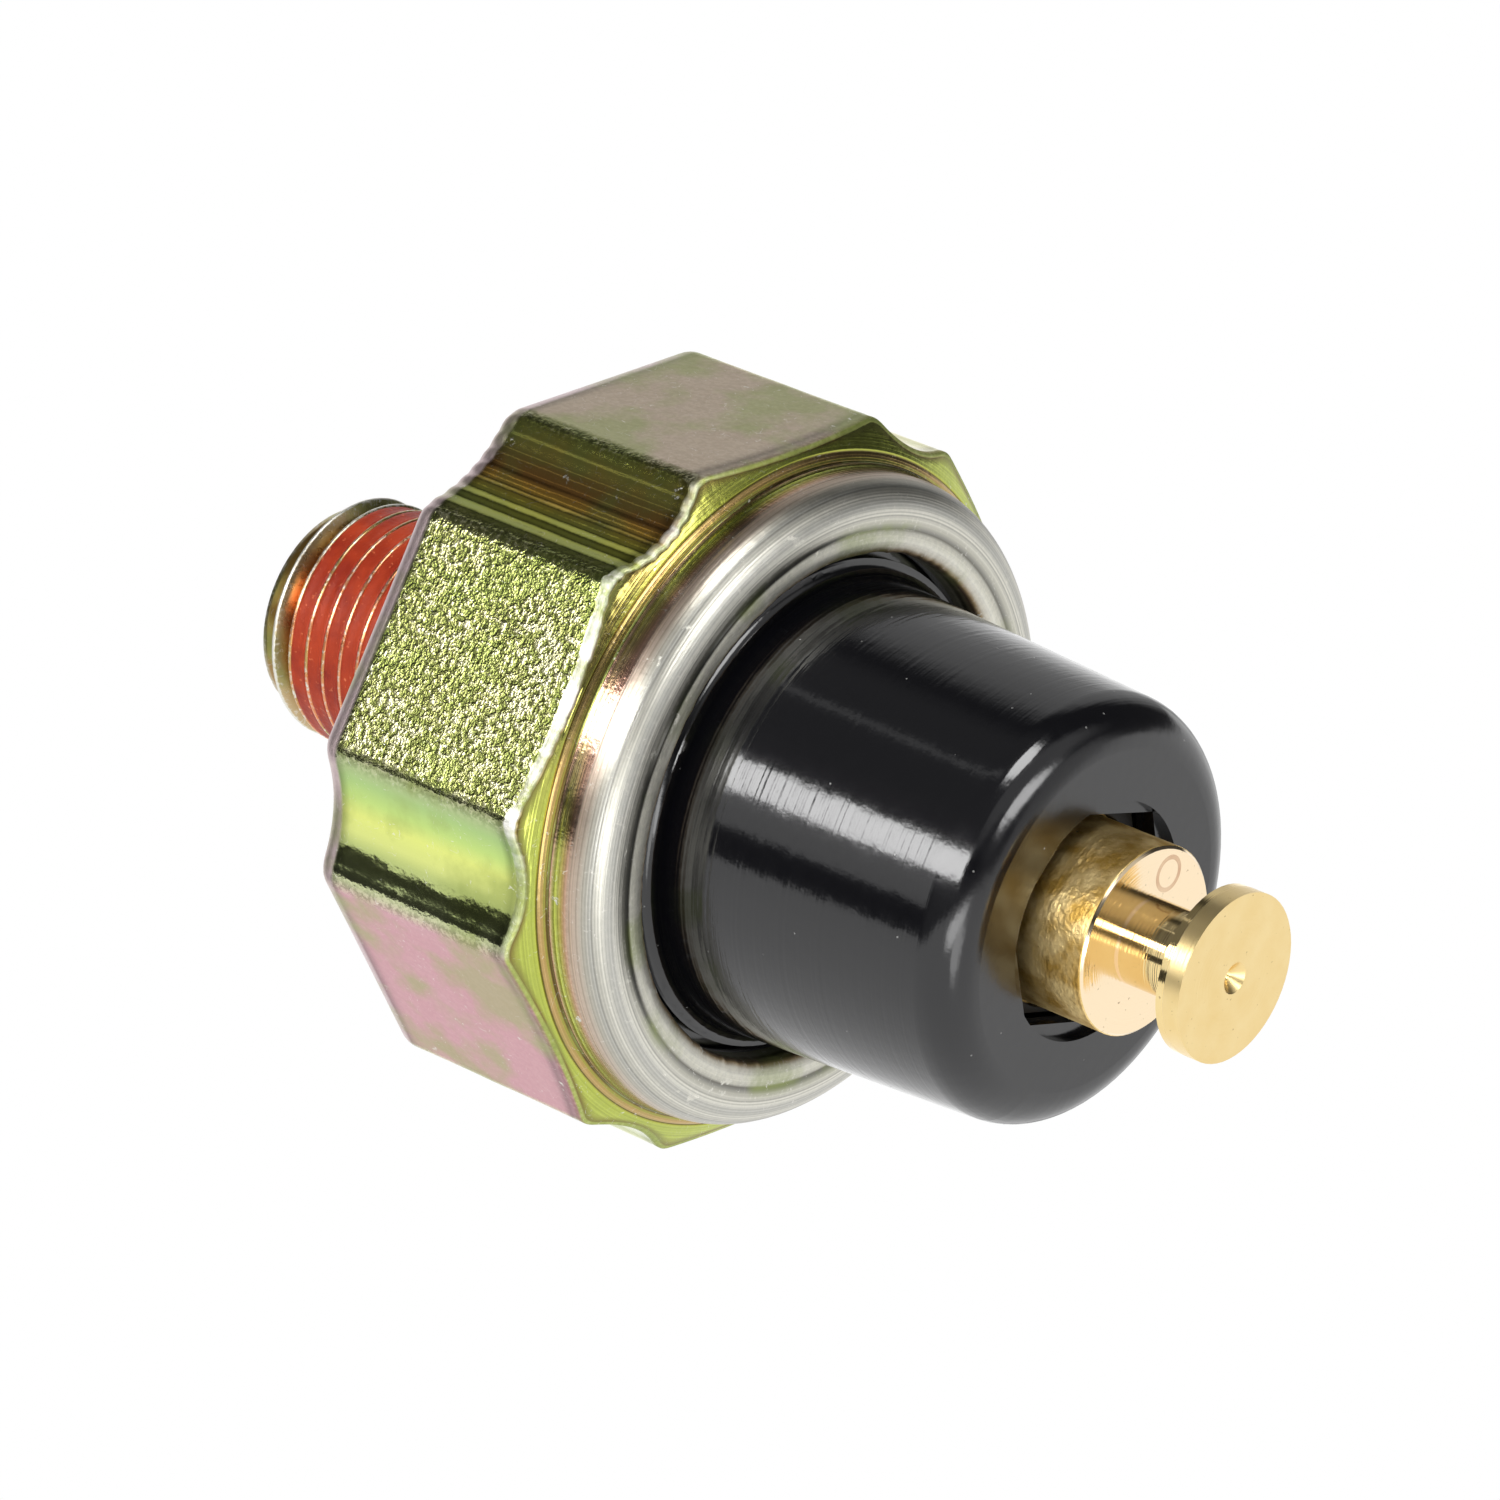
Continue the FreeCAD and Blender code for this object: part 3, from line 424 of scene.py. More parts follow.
# Zinc plate with yellow chromate passivation: metal under a thin clear film that reads lime,
# olive, pink or tan with its thickness, coarse grains with painted shade in their pits and painted
# glints on their tops, and silver where it is worn.
zinc, tree, place = new_material("yellow_passivated_zinc")
film = add(tree, "Attribute", attribute_name="film").outputs["Color"]
satin, wear, grain, rings = (add(tree, "Attribute", attribute_name=key).outputs["Fac"]
                             for key in ("satin", "wear", "grain", "rings"))
cloud = add(tree, "TexNoise", {"Vector": place, "Scale": per_mm(3.0), "Detail": 4.0}).outputs["Fac"]
speck = add(tree, "TexNoise", {"Vector": place, "Scale": per_mm(0.16), "Detail": 2.0}).outputs["Fac"]
crystals = add(tree, "TexNoise", {"Vector": place, "Scale": per_mm(0.20), "Detail": 2.0,
                                  "Roughness": 0.6}).outputs["Fac"]
green_here = add(tree, "MapRange", {"Value": cloud, "From Min": 0.47, "From Max": 0.62,
                                    "To Max": 0.6}).outputs[0]
forged = add(tree, "Math", {0: rings, 1: -1.0, 2: 1.0}, operation="MULTIPLY_ADD").outputs[0]
green_forged = add(tree, "Math", {0: green_here, 1: forged}, operation="MULTIPLY").outputs[0]
patched = add(tree, "Mix", {"Factor": green_forged, 6: film, 7: linear("#93A058")},
              data_type="RGBA").outputs[2]
# Painted shade: the film darkens to olive in the grain's pits, where its bump is low.
pit_shade_here = add(tree, "MapRange", {"Value": crystals, "From Min": 0.55, "From Max": 0.42,
                                   "To Max": 0.9}).outputs[0]
pit_shade = add(tree, "Math", {0: pit_shade_here, 1: grain}, operation="MULTIPLY").outputs[0]
shaded_pits = add(tree, "Mix", {"Factor": pit_shade, 6: patched, 7: linear("#525C28")},
             data_type="RGBA").outputs[2]
# Painted glints: pale flecks on the grain's tops, where its bump is high.
glint_edge = add(tree, "Math", {0: cloud, 1: 0.45, 2: 0.345}, operation="MULTIPLY_ADD").outputs[0]
glint_here = add(tree, "Math", {0: crystals, 1: glint_edge}, operation="SUBTRACT").outputs[0]
glint_soft = add(tree, "MapRange", {"Value": glint_here, "From Min": -0.02, "From Max": 0.05,
                                    "To Max": 0.75}).outputs[0]
painted_glint = add(tree, "Math", {0: glint_soft, 1: grain}, operation="MULTIPLY").outputs[0]
glint_flecked = add(tree, "Mix", {"Factor": painted_glint, 6: shaded_pits, 7: linear("#D2D0AC")}, data_type="RGBA").outputs[2]
scuffs = add(tree, "TexNoise", {"Vector": place, "Scale": per_mm(1.0), "Detail": 5.0,
                                "Roughness": 0.7}).outputs["Fac"]
scuffed = add(tree, "MapRange", {"Value": scuffs, "From Min": 0.60, "From Max": 0.72,
                                 "To Max": 0.55}).outputs[0]
worn_more = add(tree, "Math", {0: wear, 1: scuffed}, operation="ADD").outputs[0]
rubbed = add(tree, "Math", {0: worn_more, 1: speck}, operation="ADD").outputs[0]
bare = add(tree, "MapRange", {"Value": rubbed, "From Min": 0.82, "From Max": 1.2},
           interpolation_type="SMOOTHSTEP").outputs[0]
worn = add(tree, "Mix", {"Factor": bare, 6: glint_flecked, 7: linear("#DEDCD2")}, data_type="RGBA").outputs[2]
hair = add(tree, "TexNoise", {"Vector": place, "Scale": per_mm(1.5), "Detail": 2.0,
                              "Distortion": 1.2}).outputs["Fac"]
hair_off = add(tree, "Math", {0: hair, 1: 0.5}, operation="SUBTRACT").outputs[0]
hair_near = add(tree, "Math", {0: hair_off}, operation="ABSOLUTE").outputs[0]
hair_line = add(tree, "MapRange", {"Value": hair_near, "From Min": 0.0015, "From Max": 0.004, "To Min": 0.45,
                                   "To Max": 0.0}).outputs[0]
hair_keep = add(tree, "MapRange", {"Value": speck, "From Min": 0.5, "From Max": 0.58}).outputs[0]
hair_some = add(tree, "Math", {0: hair_line, 1: hair_keep}, operation="MULTIPLY").outputs[0]
scratched = add(tree, "Mix", {"Factor": hair_some, 6: worn, 7: linear("#F0EDE6")},
                data_type="RGBA").outputs[2]
apart = add(tree, "SeparateXYZ", {"Vector": place})
radial = add(tree, "VectorMath", {0: place, 1: (1, 1, 0)}, operation="MULTIPLY").outputs[0]
from_axis = add(tree, "VectorMath", {0: radial}, operation="LENGTH").outputs["Value"]
turned_at = add(tree, "Math", {0: apart.outputs["Z"], 1: -1.0, 2: from_axis},
                operation="MULTIPLY_ADD").outputs[0]
tool_lines = add(tree, "TexNoise", {"W": turned_at, "Scale": per_mm(0.13), "Detail": 2.0},
                 noise_dimensions="1D").outputs["Fac"]
line_shade = add(tree, "MapRange", {"Value": tool_lines, "From Min": 0.3, "From Max": 0.7, "To Min": 0.72,
                                    "To Max": 1.12}).outputs[0]
line_only = add(tree, "Mix", {"Factor": rings, 2: 1.0, 3: line_shade}, data_type="FLOAT").outputs[0]
colour = add(tree, "VectorMath", {0: scratched, "Scale": line_only}, operation="SCALE").outputs[0]
grain_height = add(tree, "Math", {0: crystals, 1: grain}, operation="MULTIPLY").outputs[0]
grain_bump = add(tree, "Bump", {"Height": grain_height, "Distance": 0.06 * MM, "Strength": 1.0})
ring_height = add(tree, "Math", {0: tool_lines, 1: rings}, operation="MULTIPLY").outputs[0]
ring_bump = add(tree, "Bump", {"Height": ring_height, "Distance": 0.012 * MM, "Strength": 1.0,
                               "Normal": grain_bump.outputs[0]})
fine = add(tree, "TexNoise", {"Vector": place, "Scale": per_mm(0.45), "Detail": 4.0}).outputs["Fac"]
fine_bump = add(tree, "Bump", {"Height": fine, "Distance": 0.010 * MM, "Strength": 1.0,
                               "Normal": ring_bump.outputs[0]})
uneven = add(tree, "MapRange", {"Value": fine, "To Min": -0.05, "To Max": 0.05}).outputs[0]
rough = add(tree, "Math", {0: satin, 1: uneven}, operation="ADD").outputs[0]
rough_bare = add(tree, "Math", {0: bare, 1: 0.15, 2: rough}, operation="MULTIPLY_ADD").outputs[0]
shader = add(tree, "BsdfPrincipled", {"Base Color": colour, "Metallic": 1.0, "Roughness": rough_bare,
                                      "Normal": fine_bump.outputs[0]})
finish_material(tree, shader)
hex_body.data.materials.append(zinc)
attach(hex_body, "housing")
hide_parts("hex_body")


def dress(node, material):
    """Gives a carried-over CAD node its finish."""
    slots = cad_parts[node].data.materials
    slots.clear()
    slots.append(material)


dress("hex_body", zinc)

# ------------------------------
# Thread sealant. An anaerobic patch put on as a liquid and dried: dull red, filling the thread
# from the second turn to the shoulder, sagging a little between crests and thin over them.
# ------------------------------
sealant_turns = np.arange(0, int(TURN_STEPS * 10.5)) / TURN_STEPS + BARE_TURNS - 0.4
ribbon_along = THREAD_END + 0.42 + (sealant_turns + 0.5) * PITCH
ribbon_crest = CREST_END + (ribbon_along - THREAD_END) * TAPER
RIBBON = ((-0.45, 0.84), (-0.36, 0.93), (-0.2, 0.91), (-0.05, 0.88), (0.1, 0.88), (0.24, 0.91),
          (0.37, 0.94), (0.45, 0.84), (0.2, 0.10), (-0.2, 0.10))
lumps = smooth_noise((8, len(sealant_turns)), (5, 330), False)
ribbon_ends = np.minimum(np.clip((sealant_turns - sealant_turns[0]) / 0.5, 0.15, 1),
                         np.clip((sealant_turns[-1] - sealant_turns) / 0.2, 0.15, 1))
ribbon_r = np.array([ribbon_crest - THREAD_DEPTH * (1 - h * ribbon_ends) for _, h in RIBBON])
ribbon_r[:8] += 0.016 * lumps
ribbon_z = np.clip([ribbon_along + w * PITCH for w, _ in RIBBON], THREAD_END + 0.3, -0.12)
thread_sealant = grid_piece("sealant_ribbon", wound(ribbon_r, ribbon_z, sealant_turns),
                            wound_faces(len(RIBBON), len(sealant_turns)), {})

# Dried sealant: a filled acrylic film, matt to satin, deep red with lighter scuffs.
sealant, tree, place = new_material("dried_thread_sealant")
blotch = add(tree, "TexNoise", {"Vector": place, "Scale": per_mm(1.3), "Detail": 4.0}).outputs["Fac"]
scuff = add(tree, "TexNoise", {"Vector": place, "Scale": per_mm(0.22), "Detail": 3.0}).outputs["Fac"]
blotch_spread = add(tree, "MapRange", {"Value": blotch, "From Min": 0.35, "From Max": 0.65}).outputs[0]
red = add(tree, "Mix", {"Factor": blotch_spread, 6: linear("#8E2206"), 7: linear("#B23A14")},
          data_type="RGBA").outputs[2]
scuffed = add(tree, "MapRange", {"Value": scuff, "From Min": 0.64, "From Max": 0.74}).outputs[0]
colour = add(tree, "Mix", {"Factor": scuffed, 6: red, 7: linear("#D8734A")}, data_type="RGBA").outputs[2]
bump = add(tree, "Bump", {"Height": scuff, "Distance": 0.03 * MM, "Strength": 1.0})
rough = add(tree, "MapRange", {"Value": blotch, "To Min": 0.42, "To Max": 0.62}).outputs[0]
shader = add(tree, "BsdfPrincipled", {"Base Color": colour, "Roughness": rough, "IOR": 1.42,
                                      "Normal": bump.outputs[0]})
finish_material(tree, shader)
thread_sealant.data.materials.append(sealant)
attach(thread_sealant, "housing")
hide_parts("thread_sealant")
dress("thread_sealant", sealant)

# ------------------------------
# Insulator. Compression-moulded black phenolic, tapered towards the nose, with a round recess
# and a six-sided socket for the terminal. Its flange is held under the steel rim.
# ------------------------------
# Moulded phenolic: near-black, glossy with a slight orange peel and rings copied from the turned
# mould, duller on the nose face, with specks of dust.
phenolic, tree, place = new_material("moulded_black_phenolic")
apart = add(tree, "SeparateXYZ", {"Vector": place})
peel = add(tree, "TexNoise", {"Vector": place, "Scale": per_mm(0.5), "Detail": 3.0}).outputs["Fac"]
mould_lines = add(tree, "TexNoise", {"W": apart.outputs["Z"], "Scale": per_mm(0.2), "Detail": 1.0},
                  noise_dimensions="1D").outputs["Fac"]
dust = add(tree, "TexVoronoi", {"Vector": place, "Scale": per_mm(0.9)})
dusty = add(tree, "MapRange", {"Value": dust.outputs["Distance"], "From Min": 0.03, "From Max": 0.055,
                               "To Min": 0.8, "To Max": 0.0}).outputs[0]
colour = add(tree, "Mix", {"Factor": dusty, 6: linear("#08080B"), 7: linear("#8A8A88")},
             data_type="RGBA").outputs[2]
NOSE_FACE_FROM, NOSE_FACE_TO = 0.02505, 0.02545
nose = add(tree, "MapRange", {"Value": apart.outputs["Z"], "From Min": NOSE_FACE_FROM,
                              "From Max": NOSE_FACE_TO}).outputs[0]
peel_bump = add(tree, "Bump", {"Height": peel, "Distance": 0.007 * MM, "Strength": 1.0})
mould_bump = add(tree, "Bump", {"Height": mould_lines, "Distance": 0.006 * MM, "Strength": 1.0,
                                "Normal": peel_bump.outputs[0]})
worn_gloss = add(tree, "MapRange", {"Value": peel, "To Min": 0.08, "To Max": 0.16}).outputs[0]
rough = add(tree, "Math", {0: nose, 1: 0.07, 2: worn_gloss}, operation="MULTIPLY_ADD").outputs[0]
shader = add(tree, "BsdfPrincipled", {"Base Color": colour, "Roughness": rough, "IOR": 1.6,
                                      "Normal": mould_bump.outputs[0]})
finish_material(tree, shader)
dress("insulator", phenolic)

# ------------------------------
# Terminal stud and the other brass: port restrictor, contact plate, moving contact and spring
# seat. All are turned or punched from bar and strip. The stud is riveted over the spring seat.
# ------------------------------
# Turned brass: pale gold, mirror-like on the collar's face, finer and more matt on the head's
# face, and dull with stains and dings round the collar's side. Its places are in metres.
COLLAR_SIDE_TOP, COLLAR_SIDE_R, COLLAR_FACE, HEAD_FROM = 0.02775, 0.00345, 0.02785, 0.0312
STAIN, STAIN_R, STAIN_LINE = (-0.00255, -0.0003, 0.02785), 0.00062, 0.00009
brass, tree, place = new_material("turned_brass")
apart = add(tree, "SeparateXYZ", {"Vector": place})
radial = add(tree, "VectorMath", {0: place, 1: (1, 1, 0)}, operation="MULTIPLY").outputs[0]
from_axis = add(tree, "VectorMath", {0: radial}, operation="LENGTH").outputs["Value"]
tarnish = add(tree, "TexNoise", {"Vector": place, "Scale": per_mm(1.1), "Detail": 4.0}).outputs["Fac"]
spots = add(tree, "TexNoise", {"Vector": place, "Scale": per_mm(0.22), "Detail": 2.0}).outputs["Fac"]
turned_at = add(tree, "Math", {0: apart.outputs["Z"], 1: -1.0, 2: from_axis},
                operation="MULTIPLY_ADD").outputs[0]
tool_lines = add(tree, "TexNoise", {"W": turned_at, "Scale": per_mm(0.09), "Detail": 1.0},
                 noise_dimensions="1D").outputs["Fac"]
below_face = add(tree, "Math", {0: apart.outputs["Z"], 1: COLLAR_SIDE_TOP}, operation="LESS_THAN").outputs[0]
outer = add(tree, "Math", {0: from_axis, 1: COLLAR_SIDE_R}, operation="GREATER_THAN").outputs[0]
side = add(tree, "Math", {0: below_face, 1: outer}, operation="MULTIPLY").outputs[0]
head = add(tree, "Math", {0: apart.outputs["Z"], 1: HEAD_FROM}, operation="GREATER_THAN").outputs[0]
clean = add(tree, "Mix", {"Factor": tarnish, 6: linear("#E4C684"), 7: linear("#F0DAA4")},
            data_type="RGBA").outputs[2]
aged_spread = add(tree, "MapRange", {"Value": tarnish, "From Min": 0.38, "From Max": 0.62}).outputs[0]
aged = add(tree, "Mix", {"Factor": aged_spread, 6: linear("#C8A050"), 7: linear("#FFE2A0")},
           data_type="RGBA").outputs[2]
base = add(tree, "Mix", {"Factor": side, 6: clean, 7: aged}, data_type="RGBA").outputs[2]
collar = add(tree, "Math", {0: apart.outputs["Z"], 1: COLLAR_FACE, 2: 0.00008},
             operation="COMPARE").outputs[0]
pinker = add(tree, "Mix", {"Factor": collar, 6: base, 7: linear("#F4DEBC")}, data_type="RGBA").outputs[2]
from_stain = add(tree, "VectorMath", {0: place, 1: STAIN}, operation="DISTANCE").outputs["Value"]
stain_edge = add(tree, "Math", {0: from_stain, 1: STAIN_R, 2: STAIN_LINE}, operation="COMPARE").outputs[0]
stain_ring = add(tree, "Math", {0: stain_edge, 1: tarnish}, operation="MULTIPLY").outputs[0]
ringed = add(tree, "Mix", {"Factor": stain_ring, 6: pinker, 7: linear("#B07C58")},
             data_type="RGBA").outputs[2]
stain = add(tree, "MapRange", {"Value": spots, "From Min": 0.70, "From Max": 0.78, "To Max": 0.6}).outputs[0]
stained = add(tree, "Mix", {"Factor": stain, 6: ringed, 7: linear("#6A4A24")}, data_type="RGBA").outputs[2]
line_bump = add(tree, "Bump", {"Height": tool_lines, "Distance": 0.004 * MM, "Strength": 1.0})
ding_height = add(tree, "Math", {0: spots, 1: side}, operation="MULTIPLY").outputs[0]
ding_bump = add(tree, "Bump", {"Height": ding_height, "Distance": 0.03 * MM, "Strength": 1.0,
                               "Normal": line_bump.outputs[0]})
rough_side = add(tree, "Math", {0: side, 1: 0.34, 2: 0.1}, operation="MULTIPLY_ADD").outputs[0]
rough = add(tree, "Math", {0: head, 1: 0.22, 2: rough_side}, operation="MULTIPLY_ADD").outputs[0]
shader = add(tree, "BsdfPrincipled", {"Base Color": stained, "Metallic": 1.0, "Roughness": rough,
                                      "Normal": ding_bump.outputs[0]})
finish_material(tree, shader)
for node in ("terminal_stud", "port_restrictor", "contact_plate", "moving_contact", "spring_seat"):
    dress(node, brass)

# ------------------------------
# Seals. Black nitrile: a ring squeezed under the diaphragm's edge, and a six-sided seal that
# keeps oil and water out of the terminal's socket.
# ------------------------------
# Moulded nitrile: dark grey-black and dull, with a faint bloom and the mould's fine texture.
nitrile, tree, place = new_material("moulded_nitrile_rubber")
bloom = add(tree, "TexNoise", {"Vector": place, "Scale": per_mm(0.8), "Detail": 3.0}).outputs["Fac"]
texture = add(tree, "TexNoise", {"Vector": place, "Scale": per_mm(0.12), "Detail": 2.0}).outputs["Fac"]
colour = add(tree, "Mix", {"Factor": bloom, 6: linear("#0E0E0F"), 7: linear("#1E1E1F")},
             data_type="RGBA").outputs[2]
bump = add(tree, "Bump", {"Height": texture, "Distance": 0.01 * MM, "Strength": 1.0})
rough = add(tree, "MapRange", {"Value": bloom, "To Min": 0.5, "To Max": 0.75}).outputs[0]
shader = add(tree, "BsdfPrincipled", {"Base Color": colour, "Roughness": rough, "IOR": 1.52,
                                      "Normal": bump.outputs[0]})
finish_material(tree, shader)
for node in ("seal_ring", "terminal_seal"):
    dress(node, nitrile)

# ------------------------------
# Diaphragm and its backing. Two polyimide films pressed to the same low crown; the edge is
# clamped in the body, and oil pressure lifts the crown with the pressure plate.
# ------------------------------
FILM, FILM_RISE, CROWN_R, FOOT_R, EDGE_R = 0.15, 0.5, 5.6, 6.7, 11.38
FILM_SEAT, FLAT_CROWN_R, LIFT = 5.25, 2.8, 0.8


def turned_piece(name, outline_points, steps):
    """A closed turned solid from (radius, height) points in mm that start and end on the axis."""
    points, faces, spin = [], [], 2 * math.pi * np.arange(steps) / steps
    for r, z in outline_points:
        points += [(0, 0, z)] if r == 0 else [(r * math.cos(a), r * math.sin(a), z) for a in spin]
    starts = np.cumsum([0] + [1 if r == 0 else steps for r, _ in outline_points])
    for row in range(len(outline_points) - 1):
        low, high = starts[row], starts[row + 1]
        for k in range(steps):
            after = (k + 1) % steps
            if outline_points[row][0] == 0:
                faces.append((low, high + after, high + k))
            elif outline_points[row + 1][0] == 0:
                faces.append((low + k, low + after, high))
            else:
                faces.append((low + k, low + after, high + after, high + k))
    mesh = bpy.data.meshes.new(name)
    mesh.from_pydata([tuple(c * MM for c in p) for p in points], [],
                     [tuple(int(i) for i in f) for f in faces])
    mesh.validate()
    mesh.shade_smooth()
    piece = bpy.data.objects.new(name, mesh)
    bpy.context.scene.collection.objects.link(piece)
    return piece


# Polyimide film: amber, glossy and slightly see-through, with faint drawn lines.
polyimide, tree, place = new_material("amber_polyimide_film")
drawn = add(tree, "TexNoise", {"Vector": place, "Scale": per_mm(0.6), "Detail": 2.0}).outputs["Fac"]
colour = add(tree, "Mix", {"Factor": drawn, 6: linear("#B5651A"), 7: linear("#D08A2E")},
             data_type="RGBA").outputs[2]
bump = add(tree, "Bump", {"Height": drawn, "Distance": 0.01 * MM, "Strength": 1.0})
rough = add(tree, "MapRange", {"Value": drawn, "To Min": 0.12, "To Max": 0.25}).outputs[0]
shader = add(tree, "BsdfPrincipled", {"Base Color": colour, "Roughness": rough, "IOR": 1.7,
                                      "Transmission Weight": 0.2, "Normal": bump.outputs[0]})
finish_material(tree, shader)
for node, foot in (("diaphragm", FILM_SEAT), ("diaphragm_backing", FILM_SEAT + FILM)):
    crown = []
    for share in np.linspace(0, 1, 13):
        rise = FILM_RISE * (1 - share * share * (3 - 2 * share))
        crown.append((CROWN_R + share * (FOOT_R - CROWN_R), foot + rise))
    under = [(0, foot + FILM_RISE), (FLAT_CROWN_R, foot + FILM_RISE)] + crown + [(EDGE_R, foot)]
    over = [(r, z + FILM) for r, z in reversed(under)]
    piece = turned_piece(node + "_film", under + over, 96)
    piece.data.materials.append(polyimide)
    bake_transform(piece)
    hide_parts(node)
    dress(node, polyimide)

# ------------------------------
# Steel rings. Punched from bright cold-rolled strip: the clamp ring over the films' edge, the
# pressure plate on the crown, and the crimp washer that spreads the rolled rim's force.
# ------------------------------
# Cold-rolled steel: grey and satin, with straight rolling lines and a trace of oil.
steel, tree, place = new_material("cold_rolled_steel")
stretched = add(tree, "VectorMath", {0: place, 1: (1.0, 0.05, 1.0)}, operation="MULTIPLY").outputs[0]
rolling = add(tree, "TexNoise", {"Vector": stretched, "Scale": per_mm(0.12), "Detail": 3.0}).outputs["Fac"]
oily = add(tree, "TexNoise", {"Vector": place, "Scale": per_mm(2.5), "Detail": 2.0}).outputs["Fac"]
colour = add(tree, "Mix", {"Factor": rolling, 6: linear("#8C8C8A"), 7: linear("#A9A8A4")},
             data_type="RGBA").outputs[2]
bump = add(tree, "Bump", {"Height": rolling, "Distance": 0.006 * MM, "Strength": 1.0})
rough = add(tree, "MapRange", {"Value": oily, "To Min": 0.25, "To Max": 0.42}).outputs[0]
shader = add(tree, "BsdfPrincipled", {"Base Color": colour, "Metallic": 1.0, "Roughness": rough,
                                      "Normal": bump.outputs[0]})
finish_material(tree, shader)
for node in ("clamp_ring", "pressure_plate", "crimp_washer"):
    dress(node, steel)

# ------------------------------
# Pusher. A turned nylon pin that keeps the contact insulated from the pressure plate.
# ------------------------------
# Natural nylon: milky white and satin, letting a little light in, with fine turning lines.
nylon, tree, place = new_material("turned_natural_nylon")
apart = add(tree, "SeparateXYZ", {"Vector": place})
lathe_lines = add(tree, "TexNoise", {"W": apart.outputs["Z"], "Scale": per_mm(0.15), "Detail": 1.0},
                  noise_dimensions="1D").outputs["Fac"]
milky = add(tree, "TexNoise", {"Vector": place, "Scale": per_mm(1.0), "Detail": 2.0}).outputs["Fac"]
colour = add(tree, "Mix", {"Factor": milky, 6: linear("#DAD6C8"), 7: linear("#EDEAE0")},
             data_type="RGBA").outputs[2]
bump = add(tree, "Bump", {"Height": lathe_lines, "Distance": 0.01 * MM, "Strength": 1.0})
rough = add(tree, "MapRange", {"Value": milky, "To Min": 0.35, "To Max": 0.5}).outputs[0]
shader = add(tree, "BsdfPrincipled", {
    "Base Color": colour, "Roughness": rough, "IOR": 1.53, "Subsurface Weight": 0.15,
    "Subsurface Radius": (0.0006, 0.0006, 0.0005), "Subsurface Scale": 1.0, "Normal": bump.outputs[0]})
finish_material(tree, shader)
dress("pusher", nylon)

# ------------------------------
# Contacts. Silver rivets: fixed ones on the contact plate and facing ones under the moving disc.
# ------------------------------
# Fine silver: bright and warm white, softly pitted where the arc has struck it.
silver, tree, place = new_material("fine_silver_contact")
struck = add(tree, "TexNoise", {"Vector": place, "Scale": per_mm(0.15), "Detail": 3.0}).outputs["Fac"]
colour = add(tree, "Mix", {"Factor": struck, 6: linear("#B9B4A8"), 7: linear("#F2F0EA")},
             data_type="RGBA").outputs[2]
bump = add(tree, "Bump", {"Height": struck, "Distance": 0.01 * MM, "Strength": 1.0})
rough = add(tree, "MapRange", {"Value": struck, "To Min": 0.15, "To Max": 0.4}).outputs[0]
shader = add(tree, "BsdfPrincipled", {"Base Color": colour, "Metallic": 1.0, "Roughness": rough,
                                      "Normal": bump.outputs[0]})
finish_material(tree, shader)
for node in ("fixed_contacts", "moving_contact_points"):
    dress(node, silver)

# ------------------------------
# Contact spring. Hard-drawn wire of 0.5 mm wound in six turns, standing on the moving contact
# under the spring seat; it closes the contacts and carries the current to the terminal.
# ------------------------------
WIRE_R, COIL_R, COIL_TURNS = 0.25, 3.0, 6
COIL_BOTTOM, COIL_TOP = 10.55, 17.85
WIRE_SIDES, COIL_STEPS = 12, 60
coil_turn = np.arange(0, COIL_TURNS * COIL_STEPS + 1) / COIL_STEPS
coil_z = COIL_BOTTOM + WIRE_R + (COIL_TOP - COIL_BOTTOM - 2 * WIRE_R) * coil_turn / COIL_TURNS
wire_turn = 2 * math.pi * np.arange(WIRE_SIDES) / WIRE_SIDES
wire_r = np.array([COIL_R + WIRE_R * math.cos(a) + 0 * coil_turn for a in wire_turn])
wire_z = np.array([coil_z - WIRE_R * math.sin(a) for a in wire_turn])
spring = grid_piece("contact_spring_wire", wound(wire_r, wire_z, coil_turn),
                    wound_faces(WIRE_SIDES, len(coil_turn)), {})

# Hard-drawn spring wire: mid grey, with fine die lines along it and a thin oily bloom.
wire, tree, place = new_material("hard_drawn_spring_wire")
drawn = add(tree, "TexNoise", {"Vector": place, "Scale": per_mm(0.1), "Detail": 2.0}).outputs["Fac"]
colour = add(tree, "Mix", {"Factor": drawn, 6: linear("#7E7C78"), 7: linear("#A5A29C")},
             data_type="RGBA").outputs[2]
bump = add(tree, "Bump", {"Height": drawn, "Distance": 0.004 * MM, "Strength": 1.0})
rough = add(tree, "MapRange", {"Value": drawn, "To Min": 0.22, "To Max": 0.38}).outputs[0]
shader = add(tree, "BsdfPrincipled", {"Base Color": colour, "Metallic": 1.0, "Roughness": rough,
                                      "Normal": bump.outputs[0]})
finish_material(tree, shader)
spring.data.materials.append(wire)
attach(spring, "housing")
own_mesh(spring)
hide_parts("contact_spring")
dress("contact_spring", wire)

# ------------------------------
# Flange gasket. A ring punched from vulcanised fibre, between the contact plate and insulator.
# ------------------------------
# Vulcanised fibre: brick red and matt, with short pressed fibres showing.
fibre, tree, place = new_material("vulcanised_fibre")
fibres = add(tree, "TexNoise", {"Vector": place, "Scale": per_mm(0.25), "Detail": 4.0,
                                "Distortion": 2.0}).outputs["Fac"]
colour = add(tree, "Mix", {"Factor": fibres, 6: linear("#5E2A20"), 7: linear("#8A4434")},
             data_type="RGBA").outputs[2]
bump = add(tree, "Bump", {"Height": fibres, "Distance": 0.03 * MM, "Strength": 1.0})
rough = add(tree, "MapRange", {"Value": fibres, "To Min": 0.6, "To Max": 0.85}).outputs[0]
shader = add(tree, "BsdfPrincipled", {"Base Color": colour, "Roughness": rough, "IOR": 1.5,
                                      "Normal": bump.outputs[0]})
finish_material(tree, shader)
dress("flange_gasket", fibre)

